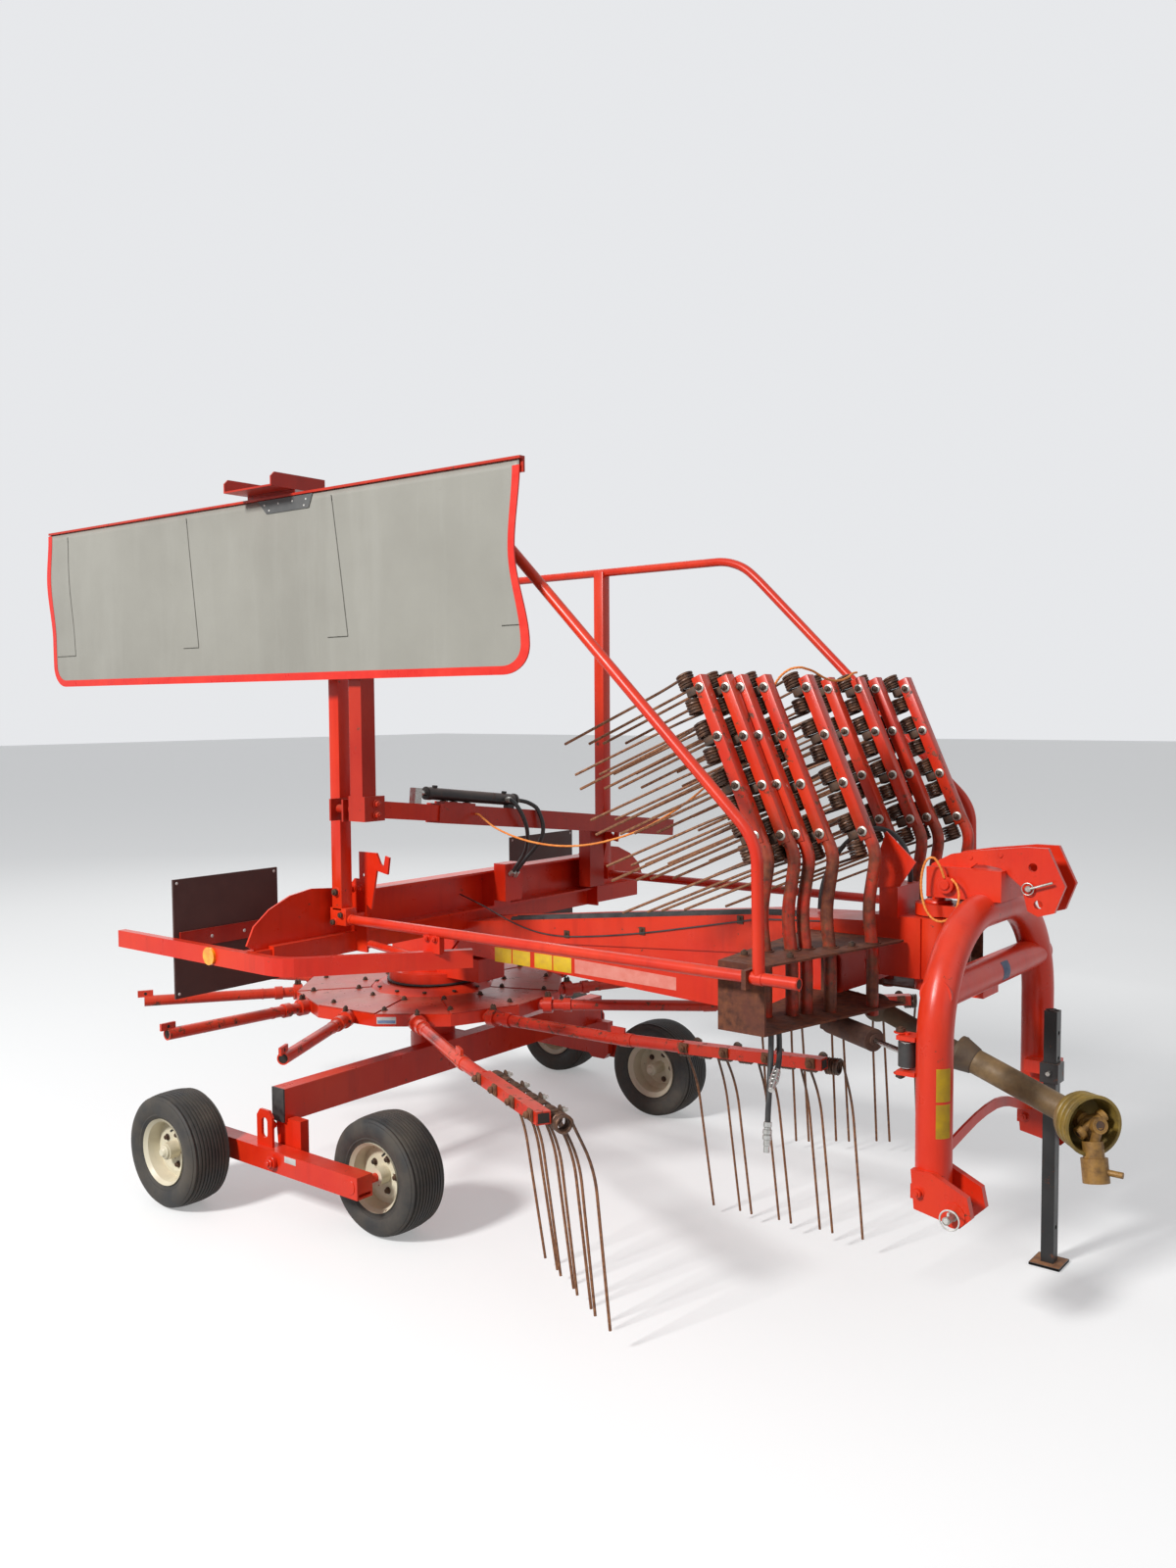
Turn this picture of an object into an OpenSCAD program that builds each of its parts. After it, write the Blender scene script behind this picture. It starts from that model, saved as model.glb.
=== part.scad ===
/* [Bogies and axle] */
// Diameter of each tyre
tyre_d = 406; // [390:1:420]
// Width of each tyre
tyre_w = 165; // [150:1:170]
// Half of the distance between a bogie's two wheels
bogie_half = 391; // [380:1:410]
// Distance from the middle plane to the middle of a bogie beam
bogie_y = 937; // [925:1:950]
// Sideways distance from a bogie beam to the middle of its wheels
wheel_offset = 140; // [136:1:150]
// Height of a bogie beam
bogie_h = 75; // [60:1:80]
// Width of a bogie beam
bogie_w = 66; // [50:1:70]
// Radius of the stub axles
stub_r = 15; // [12:1:16]

/* [Rotor] */
// Distance of the rotor's axis behind the bogie pivots
rotor_back = 190; // [180:1:200]
// Number of arms round the rotor
arm_count = 12; // [12]
// Bearing of the first mounted arm
arm_bearing = -38; // [-42:1:-34]
// Height of the top of the rotor's disc
disc_top = 630; // [620:1:640]
// Radius of the disc to its corners
disc_r = 545; // [520:1:560]
// Diameter of an arm's tube
arm_d = 42; // [38:1:46]
// Diameter of the wire of a tine
wire_d = 10; // [9:0.5:11]

/* [Frame] */
// Half of the width of the main beam
beam_half = 100; // [90:1:110]
// Height of the side guards' lower rails
rail_z = 1034; // [1025:1:1045]
// Distance of the lower rails from the middle plane
rail_y = 748; // [740:1:760]
// Height of the side guards' top tubes, folded up
hoop_top = 2350; // [2300:1:2380]
// Diameter of the side guards' tubes
hoop_d = 34; // [30:1:40]
// Distance of the side guards' posts in front of the bogie pivots
post_x = 125; // [115:1:135]

/* [Curtain] */
// Distance of the curtain from the middle plane
curtain_y = 862; // [855:1:870]
// Length of the curtain
curtain_l = 2590; // [2500:1:2620]
// Height of the curtain's top rail
curtain_top = 2490; // [2450:1:2520]
// Height of the curtain sheet
curtain_h = 625; // [600:1:640]
// How far the boom's inner tube slides out
boom_travel = 350; // [200:10:400]

/* [Headstock] */
// Distance of the headstock's arch in front of the bogie pivots
arch_x = 2155; // [2150:1:2160]
// Half of the distance between the arch's legs
arch_half = 410; // [400:1:420]
// Diameter of the arch's tube
arch_d = 100; // [90:1:105]
// Height of the lower hitch pins
pin_z = 400; // [380:1:420]
// Radius of the lower hitch pins between their plates
pin_r = 14; // [12.5:0.5:14]
// Radius of the lower hitch pins' free ends
pin_end_r = 11; // [11]
// Distance of the headstock's yaw pivot in front of the bogie pivots
yaw_x = 1990; // [1980:1:2000]

/* [Hidden] */
$fn = 32;

// The whole machine is shifted so that its box is centred on the origin
x_rear = -1516;
x_front = 2560;
x_mid = (x_rear + x_front) / 2;

wheel_r = tyre_d / 2;
axle_x = -45;
axle_w = 64;
axle_low = 322;
axle_high = 440;
axle_half = 905;
disc_low = disc_top - 45;
rotor_x = -rotor_back;
column_r = 90;
post_w = 50;
beam_y = 660;
arm_step = 360 / arm_count;
mounted = [0, 1, 2];

// Radius, bearing behind the arm's own bearing, and height of an arm's root, joint and tip
arm_root = [500, -15, 603];
arm_joint = [1130, -2.5, 618];
arm_tip = [1910, 2, 662];

// Stored arms: place of the top along the machine and across it
stored = [[1455, -510], [1507, -450], [1530, -405], [1576, -345], [1645, -210],
  [1510, 190], [1590, 250], [1607, 345], [1672, 440]];
stored_top = 1855;
stored_lean = 23.6;
tined_l = 530;
tine_gap = 156;
tine_first = 36;

module place() { translate([-x_mid, 0, 0]) children(); }
module both_sides() { children(); mirror([0, 1, 0]) children(); }

// Round bar between two points
module rod(p, q, d) {
  v = q - p;
  l = norm(v);
  translate(p) rotate([0, acos(v[2] / l), atan2(v[1], v[0])]) cylinder(d = d, h = l);
}

// Round bar along several points, with a slightly larger ball that joins the stretches at each bend
module pipe(points, d) {
  last = len(points) - 1;
  back = 0.06 * d + 0.4;
  for (i = [0 : last - 1]) {
    v = points[i + 1] - points[i];
    u = v / norm(v);
    rod(points[i] + (i > 0 ? back : 0) * u, points[i + 1] - (i < last - 1 ? back : 0) * u, d);
  }
  for (i = [1 : 1 : last - 1]) translate(points[i]) sphere(d = 1.02 * d + 1);
}

module block(x0, x1, y0, y1, z0, z1) {
  translate([x0, y0, z0]) cube([x1 - x0, y1 - y0, z1 - z0]);
}

// Flat plate from an outline in the upright plane along the machine
module side_plate(outline, y0, y1) {
  translate([0, y1, 0]) rotate([90, 0, 0]) linear_extrude(y1 - y0) polygon(outline);
}

// Flat plate from an outline in the upright plane across the machine
module cross_plate(outline, x0, x1) {
  translate([x0, 0, 0]) rotate([90, 0, 90]) linear_extrude(x1 - x0) polygon(outline);
}

function polar(r, a, z) = [rotor_x + r * cos(a), r * sin(a), z];
function arm_at(spot, k) = polar(spot[0], arm_bearing + arm_step * k + spot[1], spot[2]);

module axle_beam() {
  color("orangered") place() {
    block(axle_x - axle_w / 2, axle_x + axle_w / 2, -axle_half, axle_half, axle_low, axle_high);
    translate([rotor_x, 0, axle_low]) cylinder(r = column_r, h = disc_top + 60 - axle_low);
    block(rotor_x - 60, axle_x, -70, 70, axle_low, axle_high);
  }
}

module axle_end_caps() {
  color("black") place() both_sides()
    block(axle_x - axle_w / 2, axle_x + axle_w / 2, -axle_half - 6, -axle_half, axle_low, axle_high);
}

bracket_in = 862;
bracket_out = bogie_y - bogie_w / 2 - 6;
pivot_r = 12;

module bogie_brackets() {
  color("orangered") place() both_sides() {
    side_plate([[-72, axle_low], [-60, 190], [-35, 163], [35, 163], [60, 190], [60, 335], [-8, 335],
      [-8, axle_low]], -bracket_out, -bracket_in);
    translate([0, -bracket_in, wheel_r]) rotate([90, 0, 0])
      cylinder(r = pivot_r, h = bogie_y + bogie_w / 2 + 12 - bracket_in);
    translate([0, -bogie_y - bogie_w / 2 - 2, wheel_r]) rotate([90, 0, 0]) cylinder(r = 22, h = 14);
  }
}

// Bogie of the right side: beam, stub axles and the slotted plate that limits its tilt
module bogie() {
  beam_end = bogie_half + 38;
  difference() {
    union() {
      block(-beam_end, beam_end, -bogie_y - bogie_w / 2, -bogie_y + bogie_w / 2,
        wheel_r - bogie_h / 2, wheel_r + bogie_h / 2);
      translate([-bogie_half, -bogie_y, wheel_r]) rotate([90, 0, 0])
        cylinder(r = stub_r, h = wheel_offset + 45);
      translate([bogie_half, -bogie_y, wheel_r]) rotate([-90, 0, 0])
        cylinder(r = stub_r, h = wheel_offset + 45);
      side_plate([[-112, 235], [-28, 235], [-28, 345], [-45, 368], [-95, 368], [-112, 345]],
        -bogie_y - 14, -bogie_y - 4);
    }
    translate([0, -bogie_y + bogie_w, wheel_r]) rotate([90, 0, 0])
      cylinder(r = pivot_r + 0.08, h = 2 * bogie_w);
    for (z = [285, 325]) translate([-70, -bogie_y + 5, z]) rotate([90, 0, 0]) cylinder(r = 16, h = 30);
    block(-86, -54, -bogie_y - 24, -bogie_y + 5, 285, 325);
    for (s = [-1, 1]) block(s > 0 ? 300 : -beam_end - 1, s > 0 ? beam_end + 1 : -300,
      -bogie_y - 26, -bogie_y + 26, wheel_r - 30, wheel_r - 20);
  }
}
module bogie_right() { color("orangered") place() bogie(); }
module bogie_left() { color("orangered") place() mirror([0, 1, 0]) bogie(); }

module tyre() {
  rotate([90, 0, 0]) rotate_extrude($fn = 64) polygon([[118, -64], [150, -82], [178, -82.5], [194, -74],
    [203, -58], [203, 58], [194, 74], [178, 82.5], [150, 82], [118, 64]]);
}
module rim() {
  rotate([90, 0, 0]) rotate_extrude($fn = 64) polygon([[stub_r + 0.08, -58], [24, -58], [24, 6], [76, 10],
    [92, -10], [98, -60], [112, -66], [117.5, -72], [117.5, 72], [112, 66], [106, 60], [100, 16],
    [80, 20], [30, 16], [30, 58], [stub_r + 0.08, 58]]);
}
module wheel_at(front, side) {
  out = front ? -wheel_offset : wheel_offset;
  place() translate([front ? bogie_half : -bogie_half, side * (bogie_y + out), wheel_r])
    mirror([0, side > 0 ? 1 : 0, 0]) children();
}
module tyre_rear_right() { color("black") wheel_at(false, -1) tyre(); }
module tyre_front_right() { color("black") wheel_at(true, -1) tyre(); }
module tyre_rear_left() { color("black") wheel_at(false, 1) tyre(); }
module tyre_front_left() { color("black") wheel_at(true, 1) tyre(); }
module rim_rear_right() { color("beige") wheel_at(false, -1) rim(); }
module rim_front_right() { color("beige") wheel_at(true, -1) rim(); }
module rim_rear_left() { color("beige") wheel_at(false, 1) rim(); }
module rim_front_left() { color("beige") wheel_at(true, 1) rim(); }

module rotor_disc() {
  color("orangered") place() difference() {
    union() {
      translate([rotor_x, 0, disc_low]) rotate(arm_bearing) cylinder(r = disc_r, h = 45, $fn = 12);
      translate([rotor_x, 0, disc_low - 60]) cylinder(r = 150, h = 70);
      translate([rotor_x, 0, disc_top - 1]) cylinder(r1 = 250, r2 = 205, h = 26, $fn = 48);
    }
    translate([rotor_x, 0, 400]) cylinder(r = column_r + 0.1, h = 400);
  }
}

module rotor_inner_arms() {
  color("orangered") place() for (k = [0 : arm_count - 1]) {
    p = arm_at(arm_root, k);
    q = arm_at(arm_joint, k);
    u = (q - p) / norm(q - p);
    rod(p, q, arm_d);
    rod(p + 40 * u, p + 75 * u, arm_d + 22);
    rod(p + 120 * u, p + 150 * u, arm_d + 12);
    translate(q) rotate([0, 0, atan2(u[1], u[0])]) translate([-30, -5, 16]) cube([58, 10, 26]);
  }
}

// One outer arm lying along +X from its tip, with its tined stretch first
module outer_arm() {
  translate([0, -21, -18]) cube([tined_l, 42, 36]);
  pipe([[tined_l - 10, 0, 0], [572, 0, 11], [723, 0, -85], [836, 0, -121], [1010, 0, -189]], 38);
}
module mounted_arm(k) {
  p = arm_at(arm_joint, k);
  q = arm_at(arm_tip, k);
  v = p - q;
  translate(q) rotate([0, 0, atan2(v[1], v[0])]) rotate([0, asin(-v[2] / norm(v)), 0]) children();
}
mounted_l = norm(arm_at(arm_joint, 0) - arm_at(arm_tip, 0));
module mounted_tube() {
  translate([0, -21, -18]) cube([tined_l, 42, 36]);
  translate([tined_l - 10, 0, 0]) rotate([0, 90, 0]) cylinder(d = arm_d, h = mounted_l - tined_l + 10);
}
module rotor_outer_arms() {
  color("orangered") place() for (k = mounted) mounted_arm(k) mounted_tube();
}

// Spring tines of one arm: at each bolt two coils beside the tube, each with its prong
coil_r = 28.5;
coil_w = 46;
module tine_pair(coil_y, coil_z, prong) {
  wire_y = coil_y + coil_r - 5.5;
  for (s = [-1, 1]) {
    translate([s * 38 - coil_w / 2, coil_y, coil_z]) rotate([0, 90, 0]) difference() {
      cylinder(r = coil_r, h = coil_w);
      translate([0, 0, -1]) cylinder(r = coil_r - 11.5, h = coil_w + 2);
    }
    pipe([[s * 53, wire_y, coil_z], [s * 53, prong[0], -150], [s * 53, prong[1], prong[2]]], wire_d);
  }
  rod([-20, coil_y, coil_z + coil_r - 5.5], [20, coil_y, coil_z + coil_r - 5.5], wire_d);
}
mounted_coil = [50, -18];
stored_coil = [0, -48];
module rotor_tines() {
  color("dimgray") place() for (k = mounted, i = [0 : 3]) mounted_arm(k) mirror([0, 1, 0])
    translate([tine_first + i * tine_gap, 0, 0]) {
      tine_pair(mounted_coil[0], mounted_coil[1], [136, 170 + 8 * i, -600]);
      rod([0, -28, 5], [0, 56, 5], 13);
      translate([-15, -28, -11]) cube([30, 7, 30]);
    }
}

module gearbox() {
  color("orangered") place() translate([rotor_x, 0, 0]) difference() {
    union() {
      translate([0, 0, disc_top + 36]) cylinder(r = 175, h = 39);
      translate([0, 0, disc_top + 70]) cylinder(r = 125, h = 60);
      block(-40, 330, -75, 75, disc_top + 60, disc_top + 150);
    }
    translate([0, 0, disc_top - 10]) cylinder(r = column_r, h = 70);
  }
}

module disc_seal() {
  color("black") place() translate([rotor_x, 0, disc_top + 31]) difference() {
    cylinder(r = 185, h = 5);
    translate([0, 0, -1]) cylinder(r = column_r, h = 7);
  }
}

crease_rear = [60, 860];
crease_front = [1790, 985];
frame_top = [[-320, 775], [-320, 865], [120, 935], [1400, 1085], [1820, 1105]];
frame_low = [[1800, 905], [1440, 752], [126, 800], [-20, 760]];
module main_frame() {
  color("orangered") place() {
    side_plate(concat(frame_top, [[1820, 985], crease_front, crease_rear, [-20, 775]]),
      -beam_half, beam_half);
    side_plate(concat([crease_front], frame_low, [crease_rear]), -beam_half + 8, beam_half - 8);
  }
}

// Head of the main beam: the housing that carries the headstock's yaw pin
head_low = 940;
head_high = 1125;
yaw_r = 30;
module frame_head() {
  color("orangered") place() difference() {
    union() {
      block(1805, yaw_x - 20, -90, 90, head_low, head_high);
      translate([yaw_x, 0, head_low]) cylinder(r = 85, h = head_high - head_low);
    }
    translate([yaw_x, 0, head_low - 1]) cylinder(r = yaw_r + 0.08, h = head_high);
  }
}

cross_x = 65;
channel_low = 975;
channel_high = 1125;
wing = [[-650, 940], [-1040, 940], [-1115, 985], [-1085, 1045], [-1020, 1095], [-930, 1132],
  [-840, 1145], [-650, 1128]];
module cross_beam() {
  color("orangered") place() {
    block(cross_x, cross_x + 8, -beam_y, beam_y, channel_low, channel_high);
    for (z = [channel_low, channel_high - 8]) block(cross_x, cross_x + 75, -beam_y, beam_y, z, z + 8);
    block(cross_x - 40, cross_x + 40, -beam_y - 370, beam_y + 370, 905, channel_low);
    both_sides() {
      cross_plate(wing, cross_x, cross_x + 8);
      side_plate([[cross_x, 905], [cross_x + 95, 905], [cross_x + 95, 1165], [cross_x + 35, 1165],
        [cross_x, 1130]], -beam_y - 8, -beam_y);
      difference() {
        side_plate([[cross_x + 60, 1100], [cross_x + 120, 1060], [cross_x + 150, 1200],
          [cross_x + 205, 1190], [cross_x + 215, 1250], [cross_x + 195, 1255], [cross_x + 185, 1215],
          [cross_x + 170, 1225], [cross_x + 150, 1262], [cross_x + 60, 1262]], -beam_y - 8, -beam_y);
        translate([cross_x + 80, -beam_y + 1, 1180]) rotate([90, 0, 0]) cylinder(r = 7, h = 10);
      }
    }
    rod([cross_x, rail_y, rail_z], [post_x + 45, rail_y, rail_z], 16);
    block(cross_x + 75, cross_x + 135, 20, 118, 1005, 1152);
    block(cross_x + 8, cross_x + 75, 20, 118, channel_low + 8, channel_high - 8);
  }
}

board_x = -350;
board_in = 660;
board_out = 1110;
module board_carriers() {
  color("orangered") place() both_sides() {
    block(board_x + 8, board_x + 16, -board_out + 20, -560, 925, 985);
    side_plate([[board_x + 8, 925], [cross_x - 40, 925], [cross_x - 40, 960], [board_x + 8, 985]],
      -600, -560);
  }
}
module marker_boards() {
  color("#3a2522") place() both_sides() block(board_x, board_x + 8, board_in, board_out, 750, 1172);
}

// Guard bar outside the right board, with its brackets to the cross-beam and the side guard's rail
bar_path = [[-637, -1130], [201, -1130], [235, -1126], [267, -1115], [295, -1097], [319, -1072],
  [650, -648]];
bar_low = 910;
bar_high = 970;
function bar_side(i) = let (v = bar_path[i + 1] - bar_path[i]) [-v[1], v[0]] / norm(v);
function bar_mitre(i) = let (a = bar_side(max(i - 1, 0)), b = bar_side(min(i, len(bar_path) - 2)))
  (a + b) / (1 + a * b);
module guard_bar() {
  last = len(bar_path) - 1;
  color("orangered") place() {
    translate([0, 0, bar_low]) linear_extrude(bar_high - bar_low) polygon(concat(
      [for (i = [0 : last]) bar_path[i] - 15 * bar_mitre(i)],
      [for (i = [last : -1 : 0]) bar_path[i] + 15 * bar_mitre(i)]));
    block(cross_x - 30, cross_x + 30, -1117, -1029, bar_low + 5, bar_high - 5);
    block(535, 610, -rail_y - 12, -rail_y + 10, bar_high - 6, rail_z - 4);
    rod([184, -674, 940], [565, -764, 940], 26);
  }
}
module amber_reflector() {
  color("orange") place() translate([-86, -1145, 940]) rotate([90, 0, 0]) cylinder(r = 30, h = 9);
}

// Side guard as it stands folded up on the right, with its lower rail as the hinge line
riser_x = 1800;
rail_front = 1920;
module guard_tubes() {
  y = -rail_y;
  pipe([[post_x + 40, y, rail_z], [rail_front, y, rail_z]], hoop_d);
  pipe([[riser_x, y, rail_z], [riser_x - 6, y, 1375], [riser_x - 35, y, 1432], [905, y, 2270],
    [845, y, 2320], [760, y, hoop_top], [-600, y, hoop_top - 8]], hoop_d);
}
module guard_post() {
  block(post_x - post_w / 2, post_x + post_w / 2, -rail_y - 25, -rail_y + 25, rail_z + 30, hoop_top);
  block(post_x - 35, post_x + 45, -rail_y - 25, -rail_y + 25, rail_z - 20, rail_z + 40);
}
module side_guard_right() {
  color("orangered") place() {
    guard_tubes();
    guard_post();
    block(post_x - 20, post_x + 30, -rail_y + 20, -beam_y - 8, rail_z - 15, rail_z + 15);
  }
}
module side_guard_left() {
  color("orangered") place() mirror([0, 1, 0]) difference() {
    union() {
      guard_tubes();
      guard_post();
    }
    translate([post_x - 60, -rail_y, rail_z]) rotate([0, 90, 0]) cylinder(r = 8.08, h = 112);
  }
}

// Telescopic boom across the machine, sloping down to the left
boom_x = 300;
boom_slope = 6.4;
boom_y = -800;
boom_z = 1430;
boom_w = 70;
barrel_near = 285;
barrel_l = 475;
barrel_z = 68;
boom_rod_r = 9;
module along_boom() {
  translate([boom_x, boom_y, boom_z]) rotate([-boom_slope, 0, 0]) children();
}
module square_tube(y0, y1, w, wall) {
  difference() {
    block(-w / 2, w / 2, y0, y1, -w / 2, w / 2);
    block(-w / 2 + wall, w / 2 - wall, y0 - 1, y1 + 1, -w / 2 + wall, w / 2 - wall);
  }
}
module boom_outer() {
  color("orangered") place() {
    along_boom() {
      square_tube(330, 1800, boom_w, 5);
      block(-26, 26, 360, 520, boom_w / 2, boom_w / 2 + 8);
      block(-110, -35, 1380, 1500, -20, 20);
    }
    block(cross_x + 75, cross_x + 135, 560, 655, 1000, 1290);
  }
}
module boom_cylinder() {
  color("black") place() along_boom() {
    translate([0, barrel_near, barrel_z]) rotate([-90, 0, 0]) difference() {
      cylinder(r = 22, h = barrel_l);
      translate([0, 0, -1]) cylinder(r = boom_rod_r + 0.4, h = barrel_l - 30);
    }
    block(-12, 12, barrel_near + barrel_l - 45, barrel_near + barrel_l - 10, boom_w / 2, barrel_z);
  }
}
module boom_inner() {
  color("orangered") place() along_boom() square_tube(60, 900, boom_w - 12, 5);
}
module boom_rod() {
  color("silver") place() along_boom() {
    translate([0, barrel_near - 45, barrel_z]) rotate([-90, 0, 0]) cylinder(r = boom_rod_r, h = 440);
    block(-14, 14, barrel_near - 62, barrel_near - 30, boom_w / 2 - 6, barrel_z + 16);
  }
}

carrier_y = boom_y;
curtain_t = 8;
module curtain_carrier() {
  color("orangered") place() {
    block(boom_x - 40, boom_x + 40, carrier_y - 30, carrier_y + 60, 1388, 1472);
    block(boom_x - 30, boom_x + 30, carrier_y - 30, carrier_y + 30, 1470, curtain_top - 60);
    for (x = [boom_x - 132, boom_x - 70]) block(x, x + 8, carrier_y - 35, carrier_y + 35, 1385, 1460);
    rod([boom_x - 138, carrier_y, 1425], [boom_x - 30, carrier_y, 1425], 30);
    block(-215, 38, -curtain_y + 8, -curtain_y + 14, curtain_top - 62, curtain_top + 24);
    block(-218, 41, -curtain_y - 90, -curtain_y + 142, curtain_top + 22, curtain_top + 28);
    for (x = [-218, 35]) cross_plate([[-curtain_y - 90, curtain_top + 22], [-curtain_y - 90, curtain_top + 55],
      [-curtain_y - 75, curtain_top + 70], [-curtain_y + 142, curtain_top + 70],
      [-curtain_y + 142, curtain_top + 22]], x, x + 6);
    block(boom_x - 60, boom_x + 30, -curtain_y + 8, carrier_y + 30, curtain_top - 90, curtain_top - 50);
    block(x_rear, x_rear + curtain_l, -curtain_y - 10, -curtain_y + 12, curtain_top - 2, curtain_top + 6);
    block(x_rear, x_rear + curtain_l, -curtain_y + curtain_t / 2 + 0.3, -curtain_y + 12, curtain_top - 40, curtain_top);
  }
}

module curtain() {
  z0 = curtain_top - curtain_h;
  r = 90;
  color("#9a9788") place() {
    block(x_rear + 4, x_rear + curtain_l - 4, -curtain_y - curtain_t / 2, -curtain_y + curtain_t / 2,
      z0 + r, curtain_top - 3);
    block(x_rear + r, x_rear + curtain_l - r, -curtain_y - curtain_t / 2, -curtain_y + curtain_t / 2,
      z0, z0 + r + 1);
    for (x = [x_rear + r, x_rear + curtain_l - r]) translate([x, -curtain_y + curtain_t / 2, z0 + r])
      rotate([90, 0, 0]) cylinder(r = r - 4, h = curtain_t);
  }
}

// Rack for the arms that are off the rotor: two plates with a hole for each arm, and their sides
rack_low = 862;
rack_high = 1052;
foot_dx = 228;
rack_y = 700;
module rack_outline() {
  polygon([[1640, -rack_y], [1790, -rack_y], [1925, -130], [1925, 130], [1985, 500], [1860, rack_y],
    [1760, rack_y], [1700, 500], [1660, 130], [1600, -130]]);
}
module storage_rack() {
  color("#7a2a1c") place() difference() {
    union() {
      for (z = [rack_low, rack_high]) translate([0, 0, z]) linear_extrude(6) rack_outline();
      difference() {
        translate([0, 0, rack_low]) linear_extrude(rack_high - rack_low) rack_outline();
        block(1500, 2100, -rack_y + 6, rack_y - 6, rack_low - 1, rack_high + 1);
      }
    }
    block(1500, 2100, -beam_half - 6, beam_half + 6, rack_low - 1, rack_high + 10);
    for (s = stored) translate([s[0] + foot_dx, s[1], rack_low - 1]) cylinder(r = 21, h = 300);
  }
  color("#7a2a1c") place() {
    side_plate([[1650, rack_low], [1700, rack_low], [1700, rack_high], [1650, rack_high]],
      -beam_half - 12, -beam_half);
    side_plate([[1700, rack_low], [1760, rack_low], [1760, rack_high], [1700, rack_high]],
      beam_half, beam_half + 12);
    both_sides() difference() {
      block(1762, 1776, -rail_y - 28, -rack_y + 6, rail_z - 30, rail_z + 22);
      rod([1700, -rail_y, rail_z], [1850, -rail_y, rail_z], hoop_d + 0.16);
    }
    translate([damper_from[0], damper_from[1], damper_from[2] - 26])
      cylinder(r = 10, h = rack_low - damper_from[2] + 28);
  }
}

module stored_at(s) {
  translate([s[0], s[1], stored_top]) rotate([0, 90 - stored_lean, 0]) children();
}
module stored_arms() {
  color("orangered") place() for (s = stored) {
    stored_at(s) translate([0, -21, -18]) cube([tined_l, 42, 36]);
    pipe([[s[0] + 196, s[1], 1407], [s[0] + 239, s[1], 1335], [s[0] + 211, s[1], 1158],
      [s[0] + foot_dx, s[1], 1040], [s[0] + foot_dx, s[1], rack_low - 20]], 38);
  }
}
module stored_tines() {
  color("dimgray") place() for (s = stored, i = [0 : 3]) stored_at(s)
    translate([tine_first + i * tine_gap, 0, 0]) {
      tine_pair(stored_coil[0], stored_coil[1], [22, 6, -560]);
      rod([0, 0, -25], [0, 0, 24], 13);
      translate([0, -21, 0]) rotate([90, 0, 0]) cylinder(d = 30, h = 5);
    }
}

module sheet_shield() {
  color("orangered") place() {
    side_plate([[1800, 1205], [1864, 1384], [1960, 1295], [1907, 1217]], -104, -98);
    block(1840, 1900, -98, 60, 1120, 1215);
  }
}

stand_x = arch_x + 85;
stand_y = arch_half - 110;

// Arch of the headstock in the plane across the machine
arch_bend = 330;
arch_top = 1165;
module arch() {
  for (s = [-1, 1]) {
    translate([arch_x, s * arch_half, pin_z + 20]) cylinder(d = arch_d, h = arch_top - arch_bend - pin_z - 20);
    translate([arch_x, s * (arch_half - arch_bend), arch_top - arch_bend]) rotate([90, 0, 90])
      rotate([0, 0, s > 0 ? 0 : 90]) rotate_extrude(angle = 90, $fn = 48)
        translate([arch_bend, 0]) circle(d = arch_d);
  }
  rod([arch_x, -(arch_half - arch_bend), arch_top], [arch_x, arch_half - arch_bend, arch_top], arch_d);
  rod([arch_x, -arch_half, 975], [arch_x, arch_half, 975], 92);
}
// Curved flat bar between the legs, below the drive shaft
shaft_rest = [[-400, 576], [-300, 592], [-205, 604], [-130, 609], [-53, 608], [0, 601], [52, 589],
  [154, 554], [280, 525], [400, 512], [400, 480], [280, 493], [154, 524], [52, 559], [0, 571],
  [-53, 578], [-130, 579], [-205, 574], [-300, 560], [-400, 544]];
// Sleeve beside the left leg that the parking stand slides in
module stand_sleeve() {
  difference() {
    union() {
      block(stand_x - 28, stand_x + 28, stand_y - 28, stand_y + 28, 585, 645);
      block(arch_x - 10, stand_x, stand_y + 20, arch_half, 595, 635);
    }
    block(stand_x - 20.6, stand_x + 20.6, stand_y - 20.6, stand_y + 20.6, 580, 650);
  }
}
module headstock() {
  color("orangered") place() difference() {
    union() {
      arch();
      translate([yaw_x, 0, head_high + 5]) cylinder(r = 70, h = 35);
      translate([yaw_x, 0, head_low - 40]) cylinder(r = 70, h = 35);
      block(yaw_x, arch_x, -60, 60, head_high + 5, head_high + 40);
      block(yaw_x, arch_x, -60, 60, head_low - 40, head_low - 5);
      translate([yaw_x, 0, head_low - 30]) cylinder(r = yaw_r, h = head_high - head_low + 50);
      block(yaw_x, arch_x + 62, -95, 95, 1195, 1285);
      both_sides() {
        for (y = [-arch_half - 62, -arch_half + 40])
          side_plate([[arch_x - 40, 500], [arch_x + 20, 500], [arch_x + 120, 455], [arch_x + 132, 400],
            [arch_x + 100, 368], [arch_x - 30, 392]], y, y + 22);
        block(arch_x - 40, arch_x + 30, -arch_half - 62, -arch_half + 62, 420, 460);
      }
      for (z = [745, 843]) block(arch_x - 100, arch_x - 45, -arch_half - 30, -arch_half + 30, z, z + 12);
      translate([damper_to[0], damper_to[1], 740]) cylinder(r = 8, h = 120);
      cross_plate(shaft_rest, arch_x + 35, arch_x + 43);
      stand_sleeve();
    }
    translate([arch_x + 82, 600, pin_z]) rotate([90, 0, 0]) cylinder(r = pin_r + 0.3, h = 1200);
  }
}

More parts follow.
